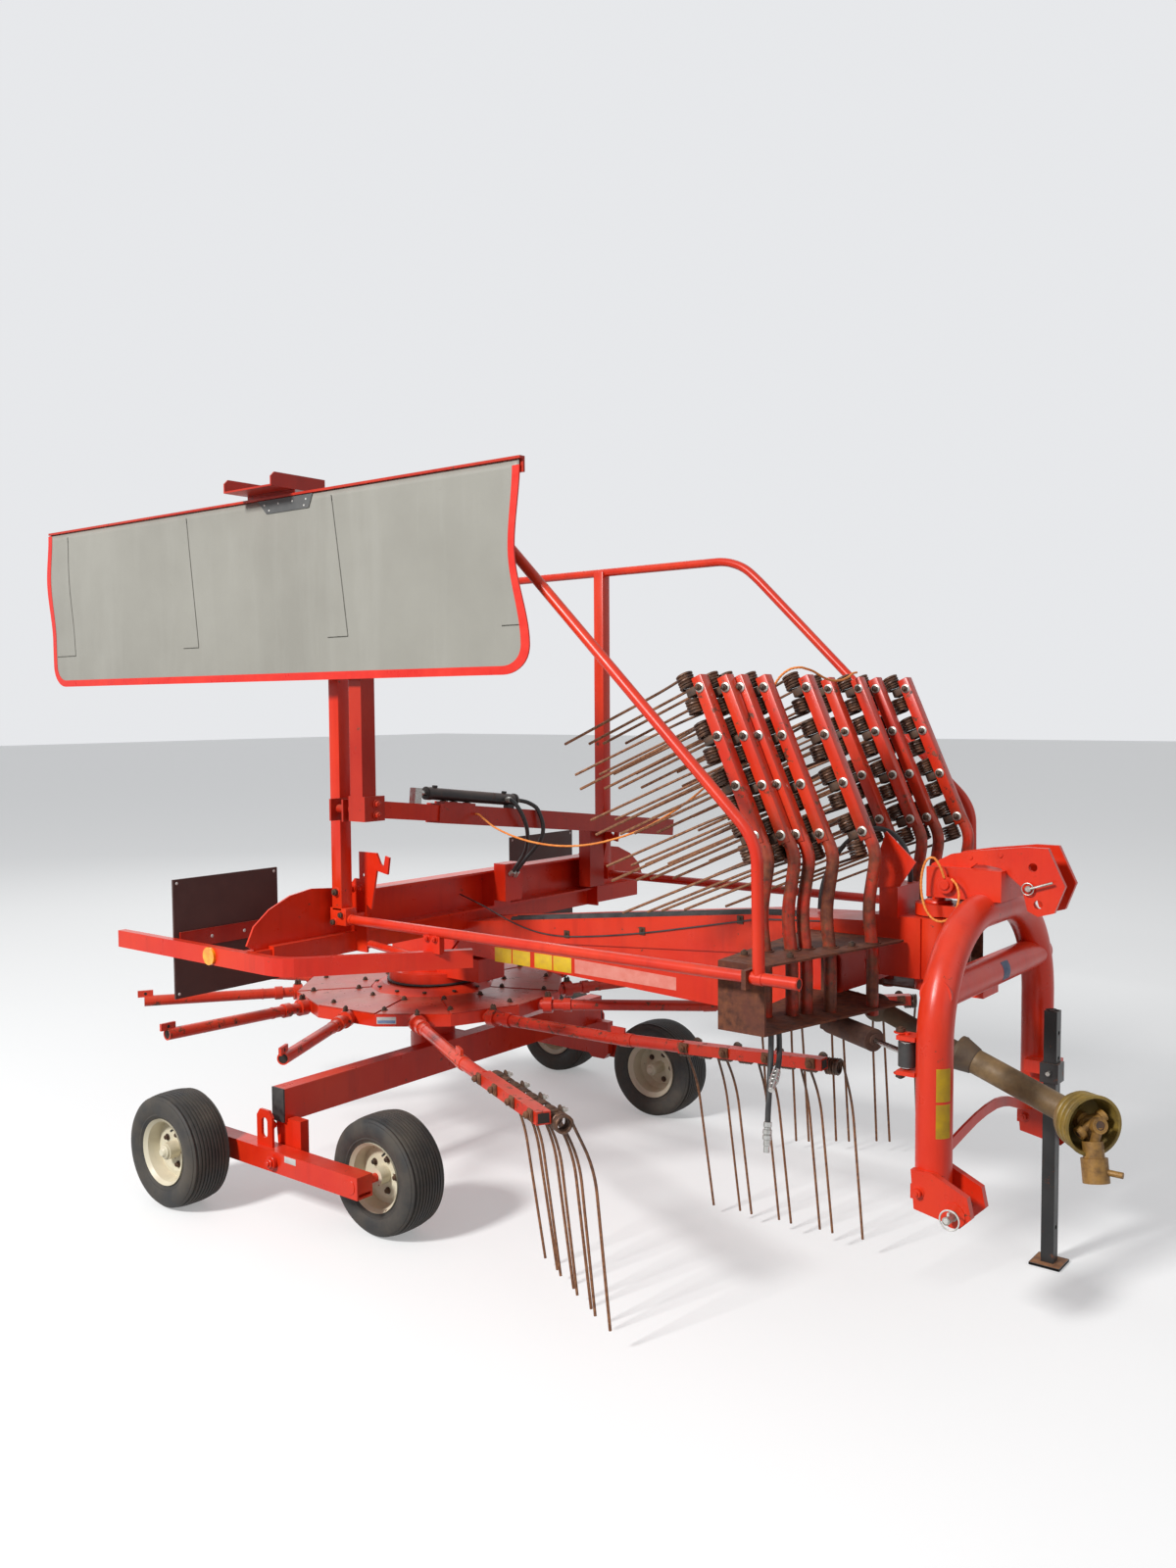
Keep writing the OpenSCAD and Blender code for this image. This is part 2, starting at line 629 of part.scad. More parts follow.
link_x = 2294;
link_holes = [[2294, 1299], [2310, 1193]];
module top_link_bracket() {
  color("orangered") place() difference() {
    both_sides() {
      side_plate([[1975, 1246], [1990, 1290], [2050, 1322], [2136, 1338], [2270, 1356], [2336, 1356],
        [2386, 1250], [2356, 1172], [2310, 1158], [2280, 1172], [2262, 1240], [2200, 1290],
        [2130, 1300], [2000, 1200], [1975, 1200]], -56, -40);
      rod([2054, -110, 1236], [2054, -38, 1236], 44);
    }
    for (h = link_holes) translate([h[0], 80, h[1]]) rotate([90, 0, 0]) cylinder(r = 12.9, h = 160);
  }
}

module lower_hitch_pins() {
  color("silver") place() both_sides() translate([arch_x + 82, -arch_half + 75, pin_z]) rotate([90, 0, 0]) {
    cylinder(r = pin_r, h = 142);
    translate([0, 0, 141]) cylinder(r = pin_end_r, h = 45);
  }
}

damper_from = [1745, -250, 812];
damper_to = [arch_x - 80, -arch_half, 800];
damper_dir = (damper_to - damper_from) / norm(damper_to - damper_from);
module damper_barrel() {
  color("#3a2a24") place() difference() {
    union() {
      rod(damper_from + 16 * damper_dir, damper_from + 215 * damper_dir, 66);
      translate(damper_from + [0, 0, -22]) cylinder(r = 22, h = 44);
    }
    rod(damper_from + 23 * damper_dir, damper_from + 230 * damper_dir, 16.4);
    translate(damper_from + [0, 0, -40]) cylinder(r = 10.08, h = 80);
  }
}
module damper_rod() {
  color("silver") place() {
    rod(damper_from + 95 * damper_dir, damper_to - 20 * damper_dir, 16);
    translate(damper_to + [0, 0, -36]) difference() {
      cylinder(r = 22, h = 72);
      translate([0, 0, -1]) cylinder(r = 12.5, h = 80);
    }
  }
}

shaft_rear = [1790, 0, 812];
shaft_front = [2410, 0, 581.3];
shaft_dir = (shaft_front - shaft_rear) / norm(shaft_front - shaft_rear);
module pto_shaft() {
  color("#4a3a2c") place() {
    rod([1640, 0, 830], shaft_rear, 60);
    translate(shaft_rear) sphere(r = 45);
    rod(shaft_rear, shaft_rear + 300 * shaft_dir, 58);
  }
}
// The bell of the guard hangs turned to the right of its tube
module pto_guard() {
  color("#8a6a30") place() {
    rod(shaft_rear + 290 * shaft_dir, shaft_front, 76);
    translate(shaft_front) rotate([0, 90, -40]) difference() {
      union() {
        translate([0, 0, -34]) cylinder(r1 = 42, r2 = 73, h = 40);
        cylinder(r1 = 74, r2 = 82, h = 85);
      }
      translate([0, 0, 8]) cylinder(r1 = 69, r2 = 79, h = 80);
    }
  }
}

// Universal joint: the shaft's fork, the cross and the outer yoke, which hangs down
joint_mid = [2462, -38, 580];
fork_dir = (joint_mid - shaft_front) / norm(joint_mid - shaft_front);
yoke_dir = [0.16, -0.16, -0.974] / norm([0.16, -0.16, -0.974]);
cross_in = [0.506, 0.691, 0.516] / norm([0.506, 0.691, 0.516]);
cross_out = cross(cross_in, yoke_dir) / norm(cross(cross_in, yoke_dir));
module pto_yoke() {
  knob = joint_mid + 125 * yoke_dir;
  color("#8a6a30") place() difference() {
    union() {
      rod(shaft_front - 10 * fork_dir, joint_mid - 30 * fork_dir, 46);
      for (s = [-1, 1]) {
        rod(joint_mid - 38 * fork_dir, joint_mid + s * 41 * cross_in, 22);
        rod(joint_mid + s * 32 * cross_in, joint_mid + s * 48 * cross_in, 38);
        rod(joint_mid + 66 * yoke_dir, joint_mid + s * 43 * cross_out, 27);
        rod(joint_mid + s * 32 * cross_out, joint_mid + s * 52 * cross_out, 46);
      }
      rod(joint_mid - 40 * cross_in, joint_mid + 40 * cross_in, 24);
      rod(joint_mid - 40 * cross_out, joint_mid + 40 * cross_out, 21);
      rod(joint_mid + 46 * yoke_dir, joint_mid + 100 * yoke_dir, 58);
      rod(joint_mid + 92 * yoke_dir, joint_mid + 160 * yoke_dir, 74);
      rod(knob, [2557.5, knob[1], knob[2]], 18);
    }
    rod(joint_mid + 115 * yoke_dir, joint_mid + 170 * yoke_dir, 35);
  }
}

// Cords: a swept tube along a route of points
function unit(v) = v / norm(v);
function tangent(p, i) = unit(p[min(i + 1, len(p) - 1)] - p[max(i - 1, 0)]);
function carried(p, i) = i == 0
  ? unit(cross(tangent(p, 0), [0.31, 0.48, 0.82]))
  : let (t = tangent(p, i), v = carried(p, i - 1)) unit(v - (v * t) * t);
module cord(route, d, sides = 8) {
  last = len(route) - 1;
  rings = [for (i = [0 : last]) let (a = carried(route, i), b = cross(tangent(route, i), a))
    for (k = [0 : sides - 1]) route[i] + d / 2 * (cos(360 * k / sides) * a + sin(360 * k / sides) * b)];
  polyhedron(points = rings, faces = concat(
    [[for (k = [0 : sides - 1]) k]],
    [for (i = [0 : last - 1], k = [0 : sides - 1]) let (n = (k + 1) % sides, j = i * sides)
      each [[j + k, j + sides + k, j + sides + n], [j + k, j + sides + n, j + n]]],
    [[for (k = [sides - 1 : -1 : 0]) last * sides + k]]));
}
rope_d = 8;
hose_d = 16;
rope_route = [[335, -290, 1378], [352, -290, 1377], [382, -294, 1362], [440, -298, 1334], [530, -301, 1308],
  [630, -303, 1292], [740, -302, 1287], [850, -298, 1296], [960, -293, 1320], [1070, -288, 1357],
  [1170, -283, 1406], [1260, -278, 1462], [1340, -273, 1524], [1410, -269, 1590], [1470, -267, 1660],
  [1520, -266, 1735], [1555, -266, 1805], [1585, -264, 1852], [1615, -256, 1876], [1640, -238, 1882],
  [1648, -210, 1878], [1648, -170, 1872], [1642, -120, 1862], [1632, -60, 1852], [1618, 20, 1846],
  [1604, 100, 1848], [1594, 170, 1858], [1590, 215, 1872], [1590, 245, 1876]];
module orange_rope() { color("orange") place() cord(rope_route, rope_d); }
loop_route = [[2054, -114, 1256], [2046, -126, 1290], [2030, -134, 1316], [2010, -138, 1310],
  [1998, -140, 1280], [1994, -142, 1240], [1998, -143, 1200], [2010, -144, 1164], [2032, -144, 1138],
  [2060, -142, 1132], [2086, -139, 1148], [2102, -135, 1178], [2106, -131, 1212], [2096, -125, 1240],
  [2078, -118, 1256]];
module rope_loop() { color("orange") place() cord(loop_route, rope_d); }
upper_hose_route = [[300, -44, 1412], [301, -24, 1411], [306, 0, 1407], [322, 22, 1399], [345, 42, 1379],
  [352, 58, 1346], [355, 68, 1310], [347, 74, 1272], [326, 77, 1238], [298, 77, 1208], [268, 76, 1180],
  [240, 75, 1152], [218, 74, 1126], [206, 74, 1108], [200, 74, 1100]];
module boom_hose_upper() { color("black") place() cord(upper_hose_route, hose_d); }
lower_hose_route = [[322, -104, 1419], [340, -103, 1418], [356, -94, 1404], [365, -76, 1376],
  [366, -54, 1342], [358, -30, 1304], [342, -8, 1266], [320, 12, 1230], [293, 28, 1198],
  [264, 38, 1170], [238, 43, 1144], [217, 45, 1122], [200, 46, 1110]];
module boom_hose_lower() { color("black") place() cord(lower_hose_route, hose_d); }
head_hose_route = [[1560, 50, 1098], [1562, 52, 1140], [1570, 55, 1186], [1588, 58, 1234], [1616, 60, 1282],
  [1654, 60, 1326], [1700, 58, 1358], [1750, 54, 1374], [1800, 49, 1368], [1840, 44, 1344],
  [1866, 40, 1308], [1878, 38, 1270], [1880, 37, 1238], [1880, 37, 1215]];
module head_hose() { color("black") place() cord(head_hose_route, hose_d); }
long_hose_route = [[1776, -640, 862], [1776, -640, 846], [1777, -642, 826], [1780, -648, 796], [1784, -658, 762], [1789, -670, 728],
  [1794, -682, 694], [1797, -691, 660], [1799, -697, 628]];
module rack_hose_long() { color("black") place() cord(long_hose_route, hose_d); }
short_hose_route = [[1778, -600, 862], [1778, -600, 850], [1780, -602, 836], [1785, -610, 814], [1793, -624, 796],
  [1802, -642, 784], [1810, -660, 776], [1816, -678, 768]];
module rack_hose_short() { color("black") place() cord(short_hose_route, hose_d); }
module hose_couplers() {
  color("silver") place() for (route = [long_hose_route, short_hose_route]) {
    n = len(route) - 1;
    u = unit(route[n] - route[n - 1]);
    rod(route[n], route[n] + 48 * u, 26);
    rod(route[n] + 46 * u, route[n] + 82 * u, 20);
  }
}

module parking_stand() {
  color("black") place() difference() {
    union() {
      block(stand_x - 20, stand_x + 20, stand_y - 20, stand_y + 20, 8, 810);
      block(stand_x - 48, stand_x + 48, stand_y - 48, stand_y + 48, 0, 8);
    }
    for (z = [120, 660, 740]) translate([stand_x - 30, stand_y, z]) rotate([0, 90, 0]) cylinder(r = 7, h = 60);
  }
}

axle_beam();
axle_end_caps();
bogie_brackets();
bogie_right();
bogie_left();
tyre_rear_right();
tyre_front_right();
tyre_rear_left();
tyre_front_left();
rim_rear_right();
rim_front_right();
rim_rear_left();
rim_front_left();
rotor_disc();
rotor_inner_arms();
rotor_outer_arms();
rotor_tines();
gearbox();
disc_seal();
main_frame();
cross_beam();
board_carriers();
marker_boards();
guard_bar();
amber_reflector();
side_guard_right();
side_guard_left();
boom_outer();
boom_cylinder();
boom_inner();
boom_rod();
curtain_carrier();
curtain();
storage_rack();
stored_arms();
stored_tines();
frame_head();
sheet_shield();
headstock();
top_link_bracket();
lower_hitch_pins();
damper_barrel();
damper_rod();
pto_shaft();
pto_guard();
pto_yoke();
parking_stand();
orange_rope();
rope_loop();
boom_hose_upper();
boom_hose_lower();
head_hose();
rack_hose_long();
rack_hose_short();
hose_couplers();
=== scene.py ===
import bmesh
import bpy
import math
from mathutils import Matrix, Vector


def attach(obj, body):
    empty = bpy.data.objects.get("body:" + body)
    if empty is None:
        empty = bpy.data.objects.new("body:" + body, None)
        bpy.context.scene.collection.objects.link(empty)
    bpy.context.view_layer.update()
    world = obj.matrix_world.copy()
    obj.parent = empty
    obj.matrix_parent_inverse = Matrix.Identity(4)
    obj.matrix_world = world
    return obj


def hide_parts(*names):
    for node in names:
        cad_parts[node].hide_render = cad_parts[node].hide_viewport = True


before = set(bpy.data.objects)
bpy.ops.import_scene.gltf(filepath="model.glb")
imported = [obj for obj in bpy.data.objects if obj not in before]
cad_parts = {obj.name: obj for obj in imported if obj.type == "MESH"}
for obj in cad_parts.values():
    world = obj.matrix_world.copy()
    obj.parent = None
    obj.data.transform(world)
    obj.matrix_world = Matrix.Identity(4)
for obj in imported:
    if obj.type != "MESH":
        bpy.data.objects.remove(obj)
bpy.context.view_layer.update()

# The camera stands to the right and in front of the machine, at a grown person's eye height.
# Its long side is upright, and it looks back and slightly down along the frame.
FOCAL_PIXELS = 1310.21467
IMAGE_HEIGHT = 1600
yaw, pitch, roll = 2.23736, -0.05995, -0.00638
ahead = Vector((math.cos(yaw), math.sin(yaw), 0))
aside = Vector((math.sin(yaw), -math.cos(yaw), 0))
up = Vector((0, 0, 1))
view = ahead * math.cos(pitch) + up * math.sin(pitch)
rise = up * math.cos(pitch) - ahead * math.sin(pitch)
right = aside * math.cos(roll) + rise * math.sin(roll)
top = rise * math.cos(roll) - aside * math.sin(roll)
lens_data = bpy.data.cameras.new("photo_camera")
lens_data.sensor_fit = "VERTICAL"
lens_data.sensor_height = 36
lens_data.lens = FOCAL_PIXELS / IMAGE_HEIGHT * 36
lens_data.clip_end = 200
EYE = (3.03159, -3.71436, 1.7663)
camera = bpy.data.objects.new("photo_camera", lens_data)
bpy.context.scene.collection.objects.link(camera)
axes = Matrix((right, top, -view)).transposed()
camera.matrix_world = Matrix.Translation(EYE) @ axes.to_4x4()
bpy.context.scene.camera = camera
bpy.context.scene.view_settings.view_transform = "Standard"


# Ropes and hoses: twisted orange plastic rope and black hydraulic hose.
# Each follows the route that its solid has in the frame, given here in millimetres along the machine.
MACHINE_SHIFT = Vector((-0.522, 0, 0))


def at(x, y, z):
    return Vector((x, y, z)) / 1000 + MACHINE_SHIFT


def smooth_route(stations, pieces=6):
    """The soft way through these stations, as a cord hangs."""
    spots = [at(*s) for s in stations]
    ends = [2 * spots[0] - spots[1]] + spots + [2 * spots[-1] - spots[-2]]
    route = []
    for a, b, c, d in zip(ends, ends[1:], ends[2:], ends[3:]):
        for step in range(pieces):
            t = step / pieces
            route.append(0.5 * (2 * b + (c - a) * t + (2 * a - 5 * b + 4 * c - d) * t * t
                                + (3 * b - a - 3 * c + d) * t ** 3))
    return route + [spots[-1]]


def new_material(name):
    material = bpy.data.materials.new(name)
    material.use_nodes = True
    nodes = material.node_tree.nodes
    return material, nodes, material.node_tree.links, nodes["Principled BSDF"]


def coords(nodes, links, source="Object", stretch=(1, 1, 1)):
    where = nodes.new("ShaderNodeTexCoord")
    place = nodes.new("ShaderNodeMapping")
    place.inputs["Scale"].default_value = stretch
    links.new(where.outputs[source], place.inputs["Vector"])
    return place.outputs["Vector"]


def noise(nodes, links, vector, scale, detail=5, roughness=0.55, low=0.4, high=0.6, top_value=1.0):
    cloud = nodes.new("ShaderNodeTexNoise")
    cloud.inputs["Scale"].default_value = scale
    cloud.inputs["Detail"].default_value = detail
    cloud.inputs["Roughness"].default_value = roughness
    links.new(vector, cloud.inputs["Vector"])
    span = nodes.new("ShaderNodeMapRange")
    span.inputs["From Min"].default_value = low
    span.inputs["From Max"].default_value = high
    span.inputs["To Max"].default_value = top_value
    links.new(cloud.outputs["Fac"], span.inputs["Value"])
    return span.outputs["Result"]


def mixed(nodes, links, factor, first, second):
    blend = nodes.new("ShaderNodeMix")
    blend.data_type = "RGBA"
    for socket, value in (("Factor", factor), ("A", first), ("B", second)):
        target = [s for s in blend.inputs if s.name == socket and (socket == "Factor") == (s.type == "VALUE")
                  and s.type != "VECTOR"][0]
        if isinstance(value, bpy.types.NodeSocket):
            links.new(value, target)
        else:
            target.default_value = value if socket == "Factor" else (*value, 1)
    return [s for s in blend.outputs if s.type == "RGBA"][0]


def bumped(nodes, links, shader, height, strength, distance):
    bump = nodes.new("ShaderNodeBump")
    bump.inputs["Strength"].default_value = strength
    bump.inputs["Distance"].default_value = distance
    links.new(height, bump.inputs["Height"])
    links.new(bump.outputs["Normal"], shader.inputs["Normal"])


def shine(nodes, links, shader, factor, low, high):
    span = nodes.new("ShaderNodeMapRange")
    span.inputs["To Min"].default_value = low
    span.inputs["To Max"].default_value = high
    links.new(factor, span.inputs["Value"])
    links.new(span.outputs["Result"], shader.inputs["Roughness"])


def simple_finish(name, colour, other, scale, rough=(0.4, 0.7), metallic=0.0, bump=0.25, distance=0.0005):
    material, nodes, links, shader = new_material(name)
    vector = coords(nodes, links)
    patches = noise(nodes, links, vector, scale, 7, 0.62, 0.35, 0.68)
    grain = noise(nodes, links, vector, scale * 12, 4, 0.6, 0.3, 0.7)
    links.new(mixed(nodes, links, patches, colour, other), shader.inputs["Base Color"])
    shader.inputs["Metallic"].default_value = metallic
    shine(nodes, links, shader, patches, *rough)
    bumped(nodes, links, shader, grain, bump, distance)
    return material


rope_fibre = simple_finish("rope_fibre", (0.78, 0.19, 0.02), (0.90, 0.36, 0.08), 60, (0.55, 0.8),
                           bump=0.5, distance=0.0006)
hose_skin = simple_finish("hose_skin", (0.012, 0.012, 0.013), (0.035, 0.032, 0.03), 22, (0.35, 0.65))


def rope(name, node, body, stations):
    """Three strands laid round each other, which turn once over the lay."""
    route = smooth_route(stations, 14)
    sides = 12
    radius = 0.004
    lay = 0.034
    side = (route[1] - route[0]).cross(Vector((0.31, 0.48, 0.82))).normalized()
    rings = []
    bm = bmesh.new()
    run = 0
    for i, spot in enumerate(route):
        along = (route[min(i + 1, len(route) - 1)] - route[max(i - 1, 0)]).normalized()
        side = (side - along * side.dot(along)).normalized()
        other = along.cross(side)
        run += (spot - route[i - 1]).length if i else 0
        turn = run / lay * 2 * math.pi
        ring = []
        for k in range(sides):
            angle = 2 * math.pi * k / sides
            reach = radius * (0.86 + 0.14 * math.cos(3 * (angle - turn)))
            ring.append(bm.verts.new(spot + reach * (side * math.cos(angle) + other * math.sin(angle))))
        rings.append(ring)
    for first, second in zip(rings, rings[1:]):
        for k in range(sides):
            bm.faces.new((first[k], first[(k + 1) % sides], second[(k + 1) % sides], second[k])).smooth = True
    bm.faces.new(rings[0][::-1])
    bm.faces.new(rings[-1])
    bmesh.ops.recalc_face_normals(bm, faces=bm.faces)
    piece = add_piece(name, bm, [rope_fibre], body, shape=False)
    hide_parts(node)
    return piece, route


def shaded(bm, limit=0.55):
    """Round faces shade smooth, and edges sharper than the limit in radians stay crisp."""
    for face in bm.faces:
        face.smooth = True
    for edge in bm.edges:
        edge.smooth = len(edge.link_faces) != 2 or edge.calc_face_angle(0) < limit


def add_piece(name, bm, materials, body, shape=True):
    if shape:
        shaded(bm)
    mesh = bpy.data.meshes.new(name)
    bm.to_mesh(mesh)
    bm.free()
    for material in materials:
        mesh.materials.append(material)
    piece = bpy.data.objects.new(name, mesh)
    bpy.context.scene.collection.objects.link(piece)
    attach(piece, body)
    return piece


long_rope, long_rope_route = rope("twisted_rope", "orange_rope", "frame", [
    (335, -290, 1378), (352, -290, 1377), (382, -294, 1362), (440, -298, 1334), (530, -301, 1308),
    (630, -303, 1292), (740, -302, 1287), (850, -298, 1296), (960, -293, 1320), (1070, -288, 1357),
    (1170, -283, 1406), (1260, -278, 1462), (1340, -273, 1524), (1410, -269, 1590), (1470, -267, 1660),
    (1520, -266, 1735), (1555, -266, 1805), (1585, -264, 1852), (1615, -256, 1876), (1640, -238, 1882),
    (1648, -210, 1878), (1648, -170, 1872), (1642, -120, 1862), (1632, -60, 1852), (1618, 20, 1846),
    (1604, 100, 1848), (1594, 170, 1858), (1590, 215, 1872), (1590, 245, 1876)])
loop_rope, loop_rope_route = rope("twisted_rope_loop", "rope_loop", "headstock", [
    (2054, -114, 1256), (2046, -126, 1290), (2030, -134, 1316), (2010, -138, 1310), (1998, -140, 1280),
    (1994, -142, 1240), (1998, -143, 1200), (2010, -144, 1164), (2032, -144, 1138), (2060, -142, 1132),
    (2086, -139, 1148), (2102, -135, 1178), (2106, -131, 1212), (2096, -125, 1240), (2078, -118, 1256)])


def hose(name, node, stations, with_pieces=()):
    route = smooth_route(stations)
    data = bpy.data.curves.new(name, "CURVE")
    data.dimensions = "3D"
    spline = data.splines.new("POLY")
    spline.points.add(len(route) - 1)
    for point, spot in zip(spline.points, route):
        point.co = (*spot, 1)
    data.bevel_depth = 0.008
    data.bevel_resolution = 3
    data.use_fill_caps = True
    data.materials.append(hose_skin)
    piece = bpy.data.objects.new(name, data)
    bpy.context.scene.collection.objects.link(piece)
    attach(piece, "frame")
    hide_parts(node)


def turned(spot, along):
    return Matrix.Translation(spot) @ Vector(along).to_track_quat("Z", "Y").to_matrix().to_4x4()


def disc(bm, spot, along, radius, height, segments=20, narrow=None, material=0, edge=0.0008):
    made = bmesh.ops.create_cone(
        bm, cap_ends=True, segments=segments, radius1=radius, radius2=radius if narrow is None else narrow,
        depth=height, matrix=turned(spot, along) @ Matrix.Translation((0, 0, height / 2)))
    faces = list(dict.fromkeys(f for v in made["verts"] for f in v.link_faces))
    for face in faces:
        face.material_index = material
    if edge:
        rim = [e for e in dict.fromkeys(e for f in faces for e in f.edges) if e.calc_face_angle(0) > 1.0]
        bmesh.ops.bevel(bm, geom=rim, offset=edge, segments=1, profile=0.5, affect="EDGES", material=-1)


coupler_steel = simple_finish("coupler_steel", (0.60, 0.60, 0.58), (0.33, 0.32, 0.30), 45, (0.22, 0.45),
                              metallic=0.9, bump=0.1)
COUPLER_STEPS = ((0, 0.0125, 0.014, 6), (0.014, 0.0095, 0.006, 24), (0.020, 0.0128, 0.012, 28),
                 (0.032, 0.0105, 0.003, 24), (0.035, 0.0128, 0.012, 28), (0.047, 0.0098, 0.016, 24),
                 (0.063, 0.0085, 0.019, 24))


def coupler(name, before_last, last):
    """Quick coupler in line with the end of its hose, from its hexagon to its nose."""
    along = (at(*last) - at(*before_last)).normalized()
    bm = bmesh.new()
    for start, radius, length, segments in COUPLER_STEPS:
        disc(bm, at(*last) + along * start, along, radius, length, segments, edge=0.0009)
    piece = add_piece(name, bm, [coupler_steel], "frame")
    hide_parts("hose_couplers")
    return piece


hose("hydraulic_hose_upper", "boom_hose_upper", [
    (300, -44, 1412), (301, -24, 1411), (306, 0, 1407), (322, 22, 1399), (345, 42, 1379), (352, 58, 1346),
    (355, 68, 1310), (347, 74, 1272), (326, 77, 1238), (298, 77, 1208), (268, 76, 1180), (240, 75, 1152),
    (218, 74, 1126), (206, 74, 1108), (200, 74, 1100)])
hose("hydraulic_hose_lower", "boom_hose_lower", [
    (322, -104, 1419), (340, -103, 1418), (356, -94, 1404), (365, -76, 1376), (366, -54, 1342),
    (358, -30, 1304), (342, -8, 1266), (320, 12, 1230), (293, 28, 1198), (264, 38, 1170), (238, 43, 1144),
    (217, 45, 1122), (200, 46, 1110)])
hose("hydraulic_hose_head", "head_hose", [
    (1560, 50, 1098), (1562, 52, 1140), (1570, 55, 1186), (1588, 58, 1234), (1616, 60, 1282), (1654, 60, 1326),
    (1700, 58, 1358), (1750, 54, 1374), (1800, 49, 1368), (1840, 44, 1344), (1866, 40, 1308), (1878, 38, 1270),
    (1880, 37, 1238), (1880, 37, 1215)])
hose("hydraulic_tail_long", "rack_hose_long", [
    (1776, -640, 862), (1776, -640, 846), (1777, -642, 826), (1780, -648, 796), (1784, -658, 762),
    (1789, -670, 728), (1794, -682, 694), (1797, -691, 660), (1799, -697, 628)],
    [coupler("quick_coupler_long", (1797, -691, 660), (1799, -697, 628))])
hose("hydraulic_tail_short", "rack_hose_short", [
    (1778, -600, 862), (1778, -600, 850), (1780, -602, 836), (1785, -610, 814), (1793, -624, 796),
    (1802, -642, 784), (1810, -660, 776), (1816, -678, 768)],
    [coupler("quick_coupler_short", (1810, -660, 776), (1816, -678, 768))])


# Plain pale floor and plain soft light, neither of which is part of the machine.
# A large lamp stands where the sun stood in the photograph, and two weaker ones fill the shade.
def product(nodes, links, a, b, operation="MULTIPLY"):
    step = nodes.new("ShaderNodeMath")
    step.operation = operation
    step.use_clamp = True
    for target, value in zip(step.inputs, (a, b)):
        if isinstance(value, bpy.types.NodeSocket):
            links.new(value, target)
        else:
            target.default_value = value
    return step.outputs["Value"]


def in_view(nodes, links):
    """1 for what the camera sees, straight or by way of metal or glass, and 0 for the light itself."""
    rays = nodes.new("ShaderNodeLightPath").outputs
    direct = product(nodes, links, rays["Is Camera Ray"], rays["Is Glossy Ray"], "MAXIMUM")
    return product(nodes, links, direct, rays["Is Transmission Ray"], "MAXIMUM")


bm = bmesh.new()
bmesh.ops.create_grid(bm, x_segments=1, y_segments=1, size=60)
floor_mesh = bpy.data.meshes.new("studio_floor")
bm.to_mesh(floor_mesh)
bm.free()
floor_paint, nodes, links, shader = new_material("studio_floor")
seen = in_view(nodes, links)
links.new(mixed(nodes, links, seen, (0.30, 0.29, 0.28), (0.70, 0.70, 0.69)), shader.inputs["Base Color"])
shader.inputs["Emission Color"].default_value = (0.30, 0.30, 0.30, 1)
links.new(seen, shader.inputs["Emission Strength"])
shader.inputs["Roughness"].default_value = 0.9
floor_mesh.materials.append(floor_paint)
floor = bpy.data.objects.new("studio_floor", floor_mesh)
bpy.context.scene.collection.objects.link(floor)
floor.location.z = -0.002
world = bpy.data.worlds.new("studio")
bpy.context.scene.world = world
world.use_nodes = True
nodes, links = world.node_tree.nodes, world.node_tree.links
sky = nodes["Background"]
sky.inputs["Color"].default_value = (0.90, 0.94, 1.0, 1)
sky.inputs["Strength"].default_value = 0.33
backdrop = nodes.new("ShaderNodeBackground")
backdrop.inputs["Color"].default_value = (0.80, 0.81, 0.83, 1)
either = nodes.new("ShaderNodeMixShader")
links.new(in_view(nodes, links), either.inputs["Fac"])
links.new(sky.outputs["Background"], either.inputs[1])
links.new(backdrop.outputs["Background"], either.inputs[2])
links.new(either.outputs["Shader"], nodes["World Output"].inputs["Surface"])
for label, spot, aim, size, power in (
        ("key", (-1.2, -9.4, 7.3), (0.0, 0.0, 0.8), 1.6, 1250),
        ("fill", (8.0, -1.0, 4.0), (0.5, 0.0, 1.0), 6.0, 90),
        ("back", (-7.0, 5.0, 6.0), (0.0, 0.0, 1.0), 5.0, 110)):
    lamp_data = bpy.data.lights.new(label, "AREA")
    lamp_data.size = size
    lamp_data.energy = power
    lamp = bpy.data.objects.new(label, lamp_data)
    bpy.context.scene.collection.objects.link(lamp)
    lamp.location = spot
    lamp.rotation_euler = (Vector(aim) - Vector(spot)).to_track_quat("-Z", "Y").to_euler()


